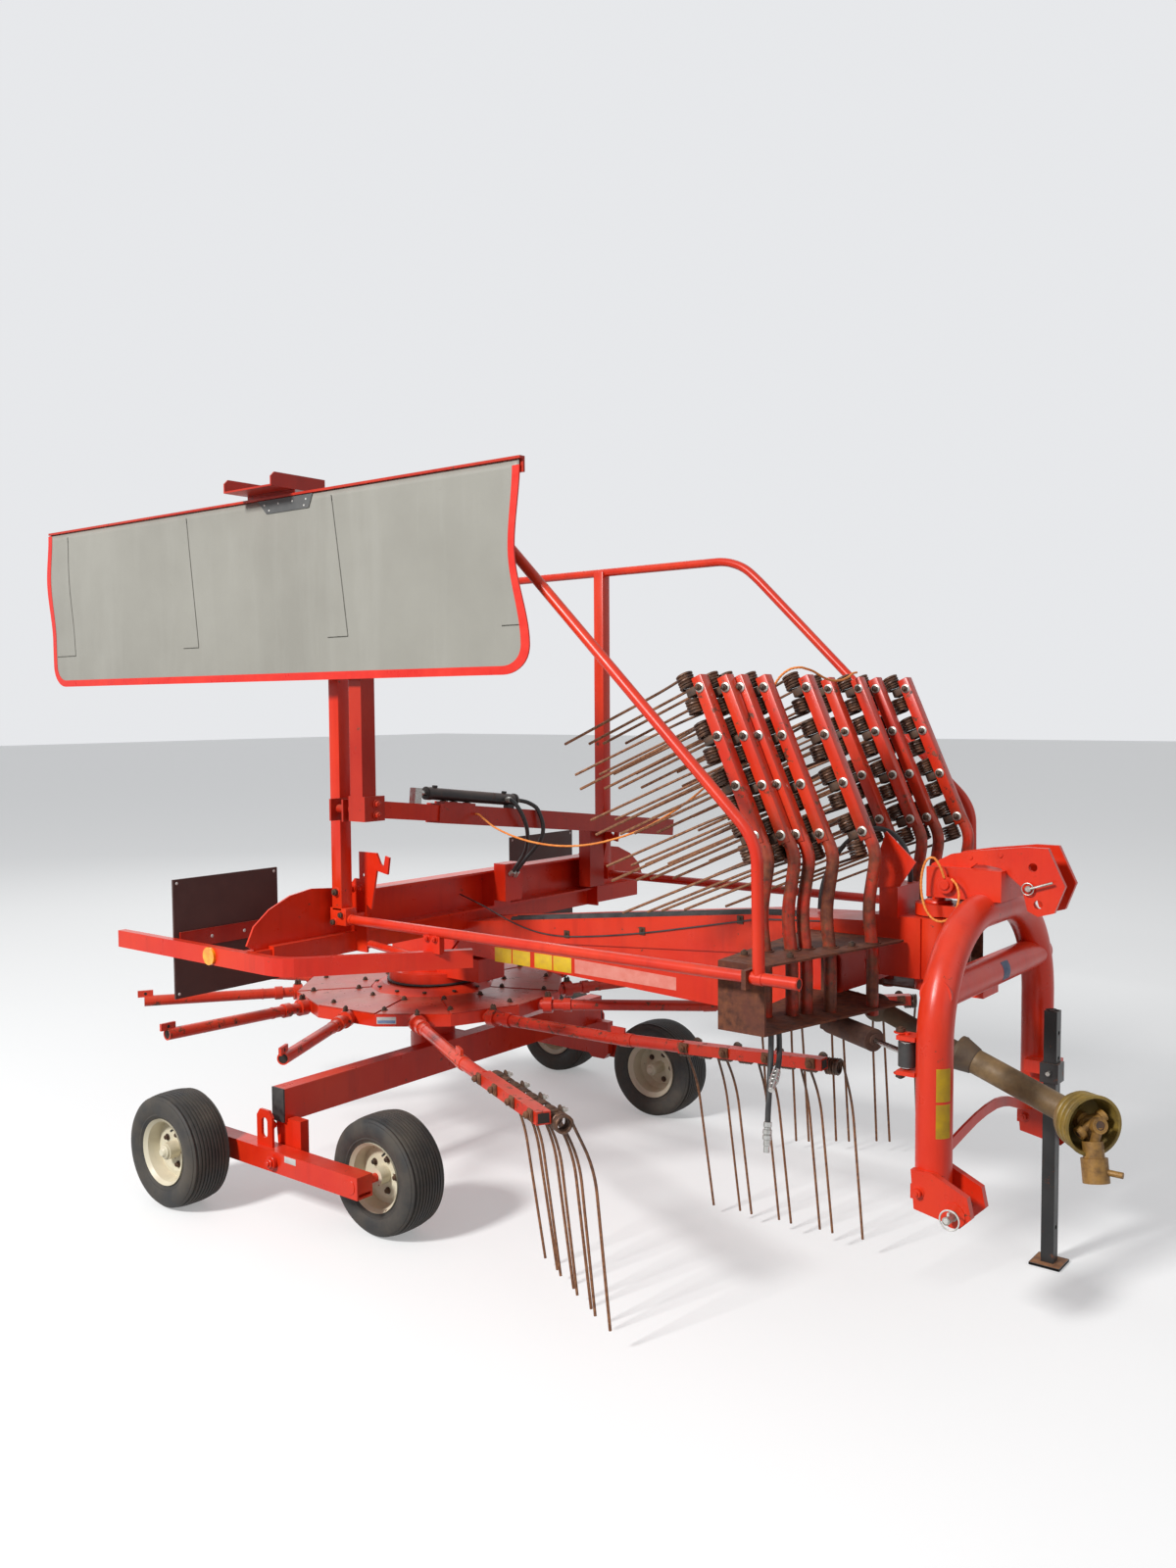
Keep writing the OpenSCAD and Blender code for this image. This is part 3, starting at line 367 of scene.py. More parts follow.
# Painted steel of the frame: orange-red paint faded by the sun, dusty on top and chipped to rust.
# It covers the axle, bogies, beams, guards, boom, head, headstock and the rotor's disc and arms.
def worn_paint(name, fresh, faded, rust=0.12, dust=0.35, rust_height=None, gloss=(0.26, 0.5)):
    material, nodes, links, shader = new_material(name)
    vector = coords(nodes, links)
    colour = mixed(nodes, links, noise(nodes, links, vector, 2.3, 6, 0.6, 0.35, 0.7), fresh, faded)
    streak = noise(nodes, links, coords(nodes, links, stretch=(14, 14, 1.6)), 1.0, 6, 0.65, 0.5, 0.72, 0.35)
    colour = mixed(nodes, links, streak, colour, tuple(c * 0.55 for c in fresh))
    normal = nodes.new("ShaderNodeNewGeometry")
    split = nodes.new("ShaderNodeSeparateXYZ")
    links.new(normal.outputs["Normal"], split.inputs["Vector"])
    facing = product(nodes, links, split.outputs["Z"], 1.0)
    film = product(nodes, links, noise(nodes, links, vector, 7, 8, 0.65, 0.3, 0.75, dust), facing)
    colour = mixed(nodes, links, film, colour, (0.42, 0.24, 0.16))
    chips = noise(nodes, links, vector, 26, 9, 0.72, 0.66 - 0.12 * rust, 0.70 - 0.1 * rust)
    if rust_height:
        place = nodes.new("ShaderNodeSeparateXYZ")
        where = nodes.new("ShaderNodeTexCoord")
        links.new(where.outputs["Object"], place.inputs["Vector"])
        depth = nodes.new("ShaderNodeMapRange")
        depth.inputs["From Min"].default_value = rust_height[0]
        depth.inputs["From Max"].default_value = rust_height[1]
        links.new(place.outputs["Z"], depth.inputs["Value"])
        broad = noise(nodes, links, vector, 9, 8, 0.7, 0.33, 0.56, 0.95)
        bare = product(nodes, links, broad, depth.outputs["Result"])
        chips = product(nodes, links, chips, bare, "MAXIMUM")
    brown = mixed(nodes, links, noise(nodes, links, vector, 40, 6, 0.6, 0.35, 0.65), (0.055, 0.018, 0.010),
                  (0.19, 0.062, 0.026))
    colour = mixed(nodes, links, chips, colour, brown)
    links.new(colour, shader.inputs["Base Color"])
    shader.inputs["Specular IOR Level"].default_value = 0.38
    rough = product(nodes, links, chips, noise(nodes, links, vector, 12, 6, 0.6, 0.3, 0.8, 0.6), "MAXIMUM")
    shine(nodes, links, shader, rough, *gloss)
    skin = product(nodes, links, noise(nodes, links, vector, 180, 3, 0.5, 0.3, 0.7, 0.3), chips, "SUBTRACT")
    bumped(nodes, links, shader, skin, 0.35, 0.0006)
    return material


red_paint = worn_paint("red_paint", (0.64, 0.018, 0.004), (0.74, 0.044, 0.009), 0.12, 0.16)
# A darker copy of the red paint, painted shade for parts that stand in shade.
painted_shade_red = worn_paint("red_paint_painted_shade", (0.42, 0.016, 0.006), (0.55, 0.036, 0.012), 0.3, 0.4)
arm_paint = worn_paint("red_paint_scuffed", (0.60, 0.022, 0.007), (0.72, 0.055, 0.017), 0.8, 0.22)


def finish_nodes(material, *names):
    """Give these solids of the frame one finish."""
    for name in names:
        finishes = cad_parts[name].data.materials
        finishes.clear()
        finishes.append(material)


finish_nodes(red_paint, "axle_beam", "bogie_brackets", "bogie_right", "bogie_left", "main_frame", "gearbox",
             "guard_bar", "side_guard_right", "side_guard_left", "frame_head", "sheet_shield", "headstock",
             "top_link_bracket", "boom_inner", "cross_beam", "rotor_disc")
# The board carriers, outer boom tube and curtain carrier take the darker copy, which is painted shade.
finish_nodes(painted_shade_red, "board_carriers", "boom_outer", "curtain_carrier")
finish_nodes(arm_paint, "rotor_inner_arms", "rotor_outer_arms")


# Bolts, nuts and washers: zinc-plated or blackened steel, most of them gone brown.
# Each is a bevelled hexagon over a thin round washer, turned to stand on its surface.
zinc = simple_finish("zinc_plate", (0.50, 0.49, 0.46), (0.24, 0.21, 0.17), 45, (0.3, 0.6), 0.85)
dark_bolt = simple_finish("dark_bolt", (0.05, 0.035, 0.028), (0.13, 0.065, 0.035), 50, (0.5, 0.8), 0.4)


def bolt(bm, spot, along, across=0.019, height=0.011, washer=0.024, plate=0.0025, material=0,
         washer_material=0):
    """Hexagon, thread end and washer that stand on a surface at this spot."""
    along = Vector(along).normalized()
    spot = Vector(spot)
    disc(bm, spot - along * 0.001, along, washer / 2 + 0.002, plate + 0.001, 24, material=washer_material)
    corner_radius = across / 2 / math.cos(math.pi / 6)
    disc(bm, spot + along * plate, along, corner_radius, height, 6, material=material, edge=0.0012)
    disc(bm, spot + along * (plate + height), along, across * 0.26, height * 0.35, 12, material=material)


# Axle and bogies: a box-section axle with black plastic end caps, and a box beam each side.
# A pin with a castle nut carries each beam, and a slotted plate with a stop bolt limits its tilt.
def plate(bm, low, high, bevel=0.0012, material=0):
    """Flat plate or block between two corners, with its edges eased."""
    low, high = Vector(low), Vector(high)
    place = Matrix.Translation((low + high) / 2) @ Matrix.Diagonal((*(high - low), 1))
    made = bmesh.ops.create_cube(bm, size=1, matrix=place)
    faces = list(dict.fromkeys(f for v in made["verts"] for f in v.link_faces))
    for face in faces:
        face.material_index = material
    if bevel:
        edges = list(dict.fromkeys(e for f in faces for e in f.edges))
        bmesh.ops.bevel(bm, geom=edges, offset=bevel, segments=2, profile=0.5, affect="EDGES", material=-1)


cap_plastic = simple_finish("cap_plastic", (0.018, 0.018, 0.019), (0.06, 0.055, 0.05), 18)
sticker_blank = simple_finish("sticker_blank", (0.66, 0.66, 0.64), (0.50, 0.49, 0.47), 30, (0.3, 0.5), 0, 0.05)
finish_nodes(cap_plastic, "axle_end_caps")
AXLE_HEIGHT = 203
BOGIE_HALF = 391
BEAM_Y, BEAM_HALF = 937, 33
for label, sign in (("right", -1), ("left", 1)):
    bm = bmesh.new()
    out = Vector((0, sign, 0))
    disc(bm, at(0, sign * 982, AXLE_HEIGHT), out, 0.024, 0.003, 24)
    disc(bm, at(0, sign * 985, AXLE_HEIGHT), out, 0.0185, 0.009, 6, edge=0.0015)
    disc(bm, at(0, sign * 994, AXLE_HEIGHT), out, 0.009, 0.006, 14)
    plate(bm, at(-13, sign * 989 - 2, AXLE_HEIGHT - 2), at(13, sign * 989 + 2, AXLE_HEIGHT + 2), 0.001)
    bolt(bm, at(-70, sign * 923, 305), -out, 0.024, 0.014, 0.036)
    add_piece("pivot_nuts_" + label, bm, [red_paint], "frame")
    bm = bmesh.new()
    for end, side in ((-BOGIE_HALF, -1), (BOGIE_HALF, 1)):
        wheel_face = sign * (BEAM_Y + BEAM_HALF * side)
        nut_face = sign * (BEAM_Y - BEAM_HALF * side)
        inward = Vector((0, -sign * side, 0))
        disc(bm, at(end, wheel_face, AXLE_HEIGHT), Vector((0, sign * side, 0)), 0.026, 0.002, 28)
        disc(bm, at(end, nut_face, AXLE_HEIGHT), inward, 0.024, 0.0035, 28, edge=0.0015)
        disc(bm, at(end, nut_face - sign * side * 3, AXLE_HEIGHT), inward, 0.013, 0.003, 20)
    plate(bm, at(60, sign * 970 - 0.7, 214), at(120, sign * 970 + 0.7, 236), 0.0004, 1)
    add_piece("bogie_collars_" + label, bm, [red_paint, sticker_blank], "bogie_" + label)


# Tyres: small ribbed implement tyres of black rubber with dusty side walls.
# The carcass is one spun section with nine ribs round its tread and a raised bead ring by the rim.
tyre_rubber = simple_finish("tyre_rubber", (0.018, 0.018, 0.018), (0.085, 0.072, 0.058), 9, (0.6, 0.9),
                            bump=0.35, distance=0.0008)
rim_paint = worn_paint("cream_paint", (0.66, 0.60, 0.44), (0.74, 0.69, 0.54), 0.3, 0.4, gloss=(0.35, 0.6))
TREAD_RIBS = 9
TREAD_HALF = 59
TYRE_RADIUS = AXLE_HEIGHT
rib_pitch = 2 * TREAD_HALF / TREAD_RIBS
tread = []
for rib in range(TREAD_RIBS):
    start = -TREAD_HALF + rib * rib_pitch
    for across, sunk in ((0.9, 6), (2.6, 0.6), (rib_pitch - 2.6, 0.6), (rib_pitch - 0.9, 6)):
        middle = abs(start + across) / TREAD_HALF
        tread.append((start + across, TYRE_RADIUS - sunk - 5 * middle ** 3))
side_wall = [(-66, 118.2), (-70, 126), (-75, 131), (-75, 136), (-77, 139), (-81, 152), (-82.4, 166),
             (-80.5, 180), (-76, 188), (-73.5, 189), (-72, 192), (-68, 196)]
section = side_wall + [(a, min(r, 198 + 5 * (1 - (abs(a) / 62) ** 6))) for a, r in tread]
section += [(-a, r) for a, r in side_wall[::-1]]
OUTER_TRACK, INNER_TRACK = 1077, 797
WHEELS = {"rear_right": (-BOGIE_HALF, -OUTER_TRACK, -1), "front_right": (BOGIE_HALF, -INNER_TRACK, -1),
          "rear_left": (-BOGIE_HALF, OUTER_TRACK, 1), "front_left": (BOGIE_HALF, INNER_TRACK, 1)}
RIM_BOLTS = 5
for label, (along_x, across_y, sign) in WHEELS.items():
    centre = at(along_x, across_y, AXLE_HEIGHT)
    bm = bmesh.new()
    verts = [bm.verts.new(centre + Vector((0, a / 1000, r / 1000))) for a, r in section]
    edges = [bm.edges.new(pair) for pair in zip(verts, verts[1:] + verts[:1])]
    bmesh.ops.spin(bm, geom=verts + edges, cent=centre, axis=(0, 1, 0), dvec=(0, 0, 0), angle=2 * math.pi,
                   steps=84, use_merge=True, use_normal_flip=False, use_duplicate=False)
    bmesh.ops.remove_doubles(bm, verts=bm.verts, dist=0.00002)
    bmesh.ops.recalc_face_normals(bm, faces=bm.faces)
    tyre = add_piece("ribbed_tyre_" + label, bm, [tyre_rubber], "wheel_" + label)
    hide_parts("tyre_" + label)
    finish_nodes(rim_paint, "rim_" + label)
    bm = bmesh.new()
    out = Vector((0, sign if "rear" in label else -sign, 0))
    shown = centre + out * 0.058
    disc(bm, shown, out, 0.026, 0.010, 32, 0.023, edge=0.003)
    disc(bm, shown + out * 0.010, out, 0.019, 0.008, 28, 0.012, edge=0.002)
    for hole in range(RIM_BOLTS):
        angle = 2 * math.pi * hole / RIM_BOLTS
        spot = centre + Vector((0.056 * math.cos(angle), sign * 0.0185, 0.056 * math.sin(angle)))
        behind = spot + Vector((0, -sign * 0.012, 0))
        bolt(bm, spot, (0, sign, 0), 0.015, 0.009, 0.020, material=1, washer_material=1)
        bolt(bm, behind, (0, -sign, 0), 0.015, 0.007, 0.020, material=1, washer_material=1)
    valve = centre + Vector((0.030, sign * 0.030, 0.088))
    disc(bm, valve, (0.1, sign * 0.9, -0.3), 0.0048, 0.030, 12, 0.0036, material=2)
    add_piece("hub_fittings_" + label, bm, [rim_paint, dark_bolt, cap_plastic], "wheel_" + label)


# Rotor: twelve sector plates bolted along their seams on the disc, a raised ring and a rubber seal.
# Each arm leaves it through a clamped collar, and the arms without a tined end are open stubs.
ROTOR_X = -190
ARM_BEARING = -38
DISC_TOP = 630
DISC_RADIUS = 545


def polar(radius, bearing, height):
    angle = math.radians(bearing)
    return at(ROTOR_X + radius * math.cos(angle), radius * math.sin(angle), height)


def slab(bm, corners, depth, material=0):
    """Closed flat piece from the corners of its face, reaching back by the vector depth."""
    front = [bm.verts.new(c) for c in corners]
    back = [bm.verts.new(Vector(c) + Vector(depth)) for c in corners]
    faces = [bm.faces.new(front), bm.faces.new(back[::-1])]
    for a, b, c, d in zip(front, front[1:] + front[:1], back[1:] + back[:1], back):
        faces.append(bm.faces.new((a, d, c, b)))
    bmesh.ops.recalc_face_normals(bm, faces=faces)
    for face in faces:
        face.material_index = material


plate_paint = worn_paint("red_paint_trodden", (0.40, 0.018, 0.008), (0.56, 0.045, 0.020), 0.45, 0.45)
ARMS = 12
SECTOR = 30
SEAM_GAP = 0.35
PLATE_INNER, PLATE_OUTER = 252, DISC_RADIUS - 3
bm = bmesh.new()
for sector in range(ARMS):
    first = ARM_BEARING + SECTOR * sector
    last = first + SECTOR
    corners = [polar(radius, bearing, DISC_TOP) for radius, bearing in (
        (PLATE_INNER, first + SEAM_GAP * 2), (PLATE_OUTER, first + SEAM_GAP),
        (PLATE_OUTER, last - SEAM_GAP), (PLATE_INNER, last - SEAM_GAP * 2))]
    face = bm.faces.new([bm.verts.new(c) for c in corners])
    lifted = bmesh.ops.extrude_face_region(bm, geom=[face])["geom"]
    upper = [v for v in lifted if isinstance(v, bmesh.types.BMVert)]
    bmesh.ops.translate(bm, vec=(0, 0, 0.0025 if sector % 2 else 0.0045), verts=upper)
bmesh.ops.recalc_face_normals(bm, faces=bm.faces)
bmesh.ops.bevel(bm, geom=list(bm.edges), offset=0.0012, segments=1, profile=0.5, affect="EDGES", material=-1)
for sector in range(ARMS):
    bearing = ARM_BEARING + SECTOR * sector
    for radius in (300, 480):
        bolt(bm, polar(radius, bearing + 480 / radius, DISC_TOP + 3), (0, 0, 1), 0.016, 0.009, 0.022, 0.002,
             material=1, washer_material=1)
    disc(bm, polar(228, bearing + SECTOR / 2, DISC_TOP + 13), (0, 0, 1), 0.009, 0.006, 6, material=1)
add_piece("disc_sectors", bm, [plate_paint, dark_bolt], "rotor")
sticker_blue = simple_finish("sticker_blue", (0.10, 0.17, 0.36), (0.30, 0.36, 0.48), 40, (0.3, 0.5), 0, 0.05)
bm = bmesh.new()
rim_bearing = ARM_BEARING - SECTOR / 2
out = Vector((math.cos(math.radians(rim_bearing)), math.sin(math.radians(rim_bearing)), 0))
across = Vector((-out.y, out.x, 0))
flat_radius = DISC_RADIUS * math.cos(math.radians(SECTOR / 2))
middle = polar(flat_radius + 0.3, rim_bearing, 608) - across * 0.098
for reach, half_l, half_h, index in ((0.0004, 0.036, 0.013, 0), (0.0008, 0.033, 0.0055, 1)):
    corners = [middle + out * reach + across * a * half_l + Vector((0, 0, b * half_h - (0.005 if index else 0)))
               for a, b in ((-1, -1), (1, -1), (1, 1), (-1, 1))]
    slab(bm, corners, out * -0.0006, index)
add_piece("rim_sticker", bm, [sticker_blank, sticker_blue], "rotor")
finish_nodes(cap_plastic, "disc_seal")


def arm_spot(spot, k):
    """Radius, bearing from its arm and height of a spot, on the arm with this number."""
    return polar(spot[0], ARM_BEARING + SECTOR * k + spot[1], spot[2])


ARM_ROOT = (500, -15, 603)
ARM_JOINT = (1130, -2.5, 618)
ARM_TIP = (1910, 2, 662)
FITTED_ARMS = 3
# Near-black finish that is painted shade: it stands for the dark inside of open tube ends, holes and slots.
shade_in_tube = simple_finish("tube_inside_painted_shade", (0.010, 0.008, 0.007), (0.035, 0.018, 0.012), 60, (0.8, 0.95))


def spun(bm, spot, along, profile, segments=28, material=0):
    """A closed profile of radius and height, spun round the line through this spot."""
    along = Vector(along).normalized()
    place = turned(Vector(spot), along)
    verts = [bm.verts.new(place @ Vector((r, 0, h))) for r, h in profile]
    edges = [bm.edges.new(pair) for pair in zip(verts, verts[1:] + verts[:1])]
    before = set(bm.faces)
    bmesh.ops.spin(bm, geom=verts + edges, cent=spot, axis=along, dvec=(0, 0, 0), angle=2 * math.pi,
                   steps=segments, use_merge=True, use_normal_flip=False, use_duplicate=False)
    faces = [f for f in bm.faces if f not in before]
    bmesh.ops.recalc_face_normals(bm, faces=faces)
    for face in faces:
        face.material_index = material


def ring(bm, spot, along, inner, outer, depth, segments=28, material=0, shade_disc_material=None):
    spun(bm, spot, along, [(outer, 0), (outer, depth), (inner, depth), (inner, 0)], segments, material)
    # The thin dark disc a little way inside the ring is painted shade for the inside of the tube.
    if shade_disc_material is not None:
        along = Vector(along).normalized()
        disc(bm, Vector(spot) + along * 0.001, along, inner + 0.0005, 0.0004, segments,
             material=shade_disc_material, edge=0)


bm = bmesh.new()
for k in range(ARMS):
    root, joint = arm_spot(ARM_ROOT, k), arm_spot(ARM_JOINT, k)
    along = (joint - root).normalized()
    across = Vector((-along.y, along.x, 0)).normalized()
    above = along.cross(across) * -1
    above = above if above.z > 0 else -above
    for step in (0.052, 0.063):
        bolt(bm, root + along * step + above * 0.0325, above, 0.013, 0.012, 0.015,
             material=1, washer_material=1)
    ring(bm, root + along * 0.196, along, 0.0205, 0.0225, 0.007)
    if k >= FITTED_ARMS:
        # Each open stub is closed by a dark disc, and two dark discs sit by its slot: painted shade.
        ring(bm, joint - along * 0.0005, along, 0.0165, 0.0212, 0.004, shade_disc_material=2)
        slot_middle = joint + along * -0.001 + Vector((0, 0, 0.029))
        for side in (-1, 1):
            disc(bm, slot_middle + across * side * 0.0048, across * side, 0.006, 0.0006, 16, material=2, edge=0)
add_piece("arm_collars", bm, [arm_paint, dark_bolt, shade_in_tube], "rotor")


# Spring tines: each pair is one bent wire with two coils, bolted to the arm between the coils.
# The wire is black by its coils and rusts towards the tips, which rub in the hay.
tine_wire, nodes, links, shader = new_material("tine_wire")
vector = coords(nodes, links)
wear = nodes.new("ShaderNodeAttribute")
wear.attribute_name = "rust"
spotty = noise(nodes, links, vector, 35, 7, 0.65, 0.25, 0.75, 0.7)
share = product(nodes, links, product(nodes, links, wear.outputs["Fac"], spotty, "ADD"), 0.80, "MULTIPLY")
grain = noise(nodes, links, vector, 90, 5, 0.6, 0.35, 0.7)
brown = mixed(nodes, links, grain, (0.19, 0.070, 0.030), (0.44, 0.200, 0.090))
links.new(mixed(nodes, links, share, (0.014, 0.013, 0.013), brown), shader.inputs["Base Color"])
shader.inputs["Metallic"].default_value = 0.35
shine(nodes, links, shader, share, 0.32, 0.75)
bumped(nodes, links, shader, noise(nodes, links, vector, 260, 4, 0.6), 0.3, 0.0004)
WIRE = 0.0044
COIL_TURNS = 5.25
COIL_PITCH = 8.95
COIL_RADIUS = 23
COIL_OUTSIDE = 63.3
COIL_STEPS = 14


def rounded(corners, reach=0.07, pieces=6):
    """The way along these corners, each of them rounded off."""
    route = [corners[0]]
    for a, b, c in zip(corners, corners[1:], corners[2:]):
        cut = min(reach, (a - b).length / 2, (c - b).length / 2)
        first, last = b + (a - b).normalized() * cut, b + (c - b).normalized() * cut
        shares = [step / pieces for step in range(pieces + 1)]
        route += [first.lerp(b, t).lerp(b.lerp(last, t), t) for t in shares]
    return route + [corners[-1]]


def tube(bm, routes, radius, resolution=5, material=0):
    """Round bars or tubes along these ways, closed at their ends."""
    data = bpy.data.curves.new("route", "CURVE")
    data.dimensions = "3D"
    for route in routes:
        spline = data.splines.new("POLY")
        spline.points.add(len(route) - 1)
        for point, spot in zip(spline.points, route):
            point.co = (*spot, 1)
    data.bevel_depth = radius
    data.bevel_resolution = resolution
    data.use_fill_caps = True
    holder = bpy.data.objects.new("route", data)
    mesh = bpy.data.meshes.new_from_object(holder)
    bpy.data.objects.remove(holder)
    before = len(bm.faces)
    bm.from_mesh(mesh)
    bm.faces.ensure_lookup_table()
    for face in bm.faces[before:]:
        face.material_index = material


def tine_curve(coil_y, coil_z, prong, shift):
    """Way of one pair of tines, from one tip to the other, from places in the arm's own millimetres."""
    bend = [Vector((COIL_OUTSIDE - 10, prong[1], prong[2])), Vector((COIL_OUTSIDE - 7, prong[0], -150)),
            Vector((COIL_OUTSIDE - 1, coil_y + COIL_RADIUS, coil_z))]
    half = [tuple(spot) for spot in rounded(bend, 75)[:-1]]
    for i in range(int(COIL_TURNS * COIL_STEPS) + 1):
        angle = 2 * math.pi * i / COIL_STEPS
        half.append((COIL_OUTSIDE - COIL_PITCH * i / COIL_STEPS, coil_y + COIL_RADIUS * math.cos(angle),
                     coil_z + COIL_RADIUS * math.sin(angle)))
    left = [(-x, y, z) for x, y, z in half]
    return [Vector((x + shift, y, z)) / 1000 for x, y, z in left + half[::-1]]


def tine_mesh(name, coil_y, coil_z, prongs, first, gap):
    """Mesh of one arm's pairs of tines, with how far each point has rusted."""
    bm = bmesh.new()
    tube(bm, [tine_curve(coil_y, coil_z, prong, first + gap * i) for i, prong in enumerate(prongs)], WIRE, 1)
    rust = bm.verts.layers.float.new("rust")
    for vert in bm.verts:
        vert[rust] = min(1, max(0, (-vert.co.z - 0.08) / 0.20))
    return bm


TINE_FIRST = 36
TINE_GAP = 156
TINE_PAIRS = 4
stud = simple_finish("galvanised_stud", (0.62, 0.60, 0.56), (0.30, 0.26, 0.21), 60, (0.3, 0.6), 0.7)
clamp_rust = simple_finish("clamp_rust", (0.10, 0.038, 0.02), (0.26, 0.11, 0.05), 34, (0.7, 0.9),
                           metallic=0.1, bump=0.6, distance=0.001)


def arm_set(name, body, node, coil, prongs, places, hardware):
    """The tines of several arms: one arm's set with its bolts, copied to each place."""
    set_bm = tine_mesh(name, coil[0], coil[1], prongs, TINE_FIRST, TINE_GAP)
    hardware(set_bm)
    shaded(set_bm, 0.9)
    template = bpy.data.meshes.new(name + "_one")
    set_bm.to_mesh(template)
    set_bm.free()
    bm = bmesh.new()
    for place in places:
        before = len(bm.verts)
        bm.from_mesh(template)
        bm.verts.ensure_lookup_table()
        bmesh.ops.transform(bm, matrix=place, verts=bm.verts[before:])
    if places[0].determinant() < 0:
        bmesh.ops.reverse_faces(bm, faces=bm.faces)
    piece = add_piece(name, bm, [tine_wire, stud, clamp_rust, dark_bolt], body, shape=False)
    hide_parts(node)
    return piece


def mounted_hardware(bm):
    for i in range(TINE_PAIRS):
        x = (TINE_FIRST + TINE_GAP * i) / 1000
        plate(bm, (x - 0.015, -0.029, -0.013), (x + 0.015, -0.021, 0.020), 0.002, 2)
        bolt(bm, (x, -0.029, 0.005), (0, -1, 0), 0.019, 0.011, 0.026, material=2, washer_material=2)
        disc(bm, (x, 0.021, 0.005), (0, 1, 0), 0.0062, 0.055, 14, material=3)
        disc(bm, (x, 0.060, 0.005), (0, 1, 0), 0.016, 0.004, 20, material=3)
        disc(bm, (x, 0.064, 0.005), (0, 1, 0), 0.0108, 0.012, 6, material=1, edge=0.0012)
        disc(bm, (x, 0.076, 0.005), (0, 1, 0), 0.0056, 0.008, 12, material=1)
        plate(bm, (x - 0.013, 0.021, -0.020), (x + 0.013, 0.060, 0.0035), 0.003, 3)


def mounted_place(k):
    joint, tip = arm_spot(ARM_JOINT, k), arm_spot(ARM_TIP, k)
    back = joint - tip
    heading = Matrix.Rotation(math.atan2(back.y, back.x), 4, "Z")
    slope = Matrix.Rotation(math.asin(-back.z / back.length), 4, "Y")
    return Matrix.Translation(tip) @ heading @ slope @ Matrix.Diagonal((1, -1, 1, 1))


arm_set("spring_tines_mounted", "rotor", "rotor_tines", (50, -18),
        [(136, 170 + 8 * i, -600) for i in range(TINE_PAIRS)],
        [mounted_place(k) for k in range(FITTED_ARMS)], mounted_hardware)
SQUARE = ((-1, -1), (1, -1), (1, 1), (-1, 1))
bm = bmesh.new()
for k in range(FITTED_ARMS):
    joint, tip = arm_spot(ARM_JOINT, k), arm_spot(ARM_TIP, k)
    along = (tip - joint).normalized()
    # A dark square just inside each tined arm's end is painted shade for its open tube.
    corners = [mounted_place(k) @ Vector((-0.0006, a * 0.0165, b * 0.0135)) for a, b in SQUARE]
    bm.faces.new([bm.verts.new(c) for c in corners]).material_index = 1
    ring(bm, joint + along * 0.012, along, 0.0212, 0.0235, 0.05)
bmesh.ops.recalc_face_normals(bm, faces=bm.faces)
add_piece("outer_arm_ends", bm, [arm_paint, shade_in_tube], "rotor")


# Stored arms: nine tined arms stand in the rack, their painted bars up and their rusty tubes down.
# Their springs lie behind the bars, held by four large bolts with pale washers on each bar.
STORED = ((1455, -510), (1507, -450), (1530, -405), (1576, -345), (1645, -210),
          (1510, 190), (1590, 250), (1607, 345), (1672, 440))
STORED_TOP = 1855
STORED_LEAN = 23.6
stored_paint = worn_paint("red_paint_stored", (0.58, 0.020, 0.006), (0.70, 0.050, 0.015), 0.7, 0.25,
                          rust_height=(1.50, 1.30))


def stored_hardware(bm):
    for i in range(TINE_PAIRS):
        x = (TINE_FIRST + TINE_GAP * i) / 1000
        disc(bm, (x, -0.0205, 0), (0, -1, 0), 0.0155, 0.0035, 28, material=1)
        disc(bm, (x, -0.024, 0), (0, -1, 0), 0.0105, 0.010, 6, material=3, edge=0.0012)
        disc(bm, (x, -0.034, 0), (0, -1, 0), 0.0058, 0.006, 12, material=3)
        disc(bm, (x, 0.0205, 0), (0, 1, 0), 0.0120, 0.013, 6, material=3, edge=0.0012)
        plate(bm, (x - 0.013, -0.020, -0.052), (x + 0.013, 0.020, -0.017), 0.003, 3)


def stored_place(x, y):
    return Matrix.Translation(at(x, y, STORED_TOP)) @ Matrix.Rotation(math.radians(90 - STORED_LEAN), 4, "Y")


bm = bmesh.new()
for x, y in STORED:
    before = len(bm.verts)
    plate(bm, (0, -0.021, -0.018), (0.530, 0.021, 0.018), 0.003)
    bm.verts.ensure_lookup_table()
    bmesh.ops.transform(bm, matrix=stored_place(x, y), verts=bm.verts[before:])
tube(bm, [rounded([at(x + 196, y, 1407), at(x + 239, y, 1335), at(x + 211, y, 1158), at(x + 228, y, 1040),
                   at(x + 228, y, 842)]) for x, y in STORED], 0.019)
bars = add_piece("stored_bars", bm, [stored_paint], "frame")
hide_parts("stored_arms")
arm_set("spring_tines_stored", "frame", "stored_tines", (0, -48), [(22, 6, -560)] * TINE_PAIRS,
        [stored_place(x, y) for x, y in STORED], stored_hardware)


# Main frame: a folded steel beam with a rubber strip along its top edge and a thin cable clipped to its side.
# Its warning plates are left blank, and so is the long pale band beside them.
rubber = simple_finish("rubber_strip", (0.016, 0.016, 0.017), (0.075, 0.072, 0.068), 26, (0.6, 0.85))
plate_yellow = simple_finish("plate_yellow", (0.80, 0.55, 0.02), (0.66, 0.42, 0.04), 30, (0.35, 0.55), 0, 0.05)
band_pale = simple_finish("band_pale", (0.80, 0.30, 0.24), (0.74, 0.20, 0.15), 24, (0.4, 0.6), 0, 0.05)
TOP_EDGE = ((120, 935), (1400, 1085), (1820, 1105))


def top_height(x):
    """Height of the beam's top edge here."""
    for (x0, z0), (x1, z1) in zip(TOP_EDGE, TOP_EDGE[1:]):
        if x <= x1:
            return z0 + (z1 - z0) * (x - x0) / (x1 - x0)
    return TOP_EDGE[-1][1]


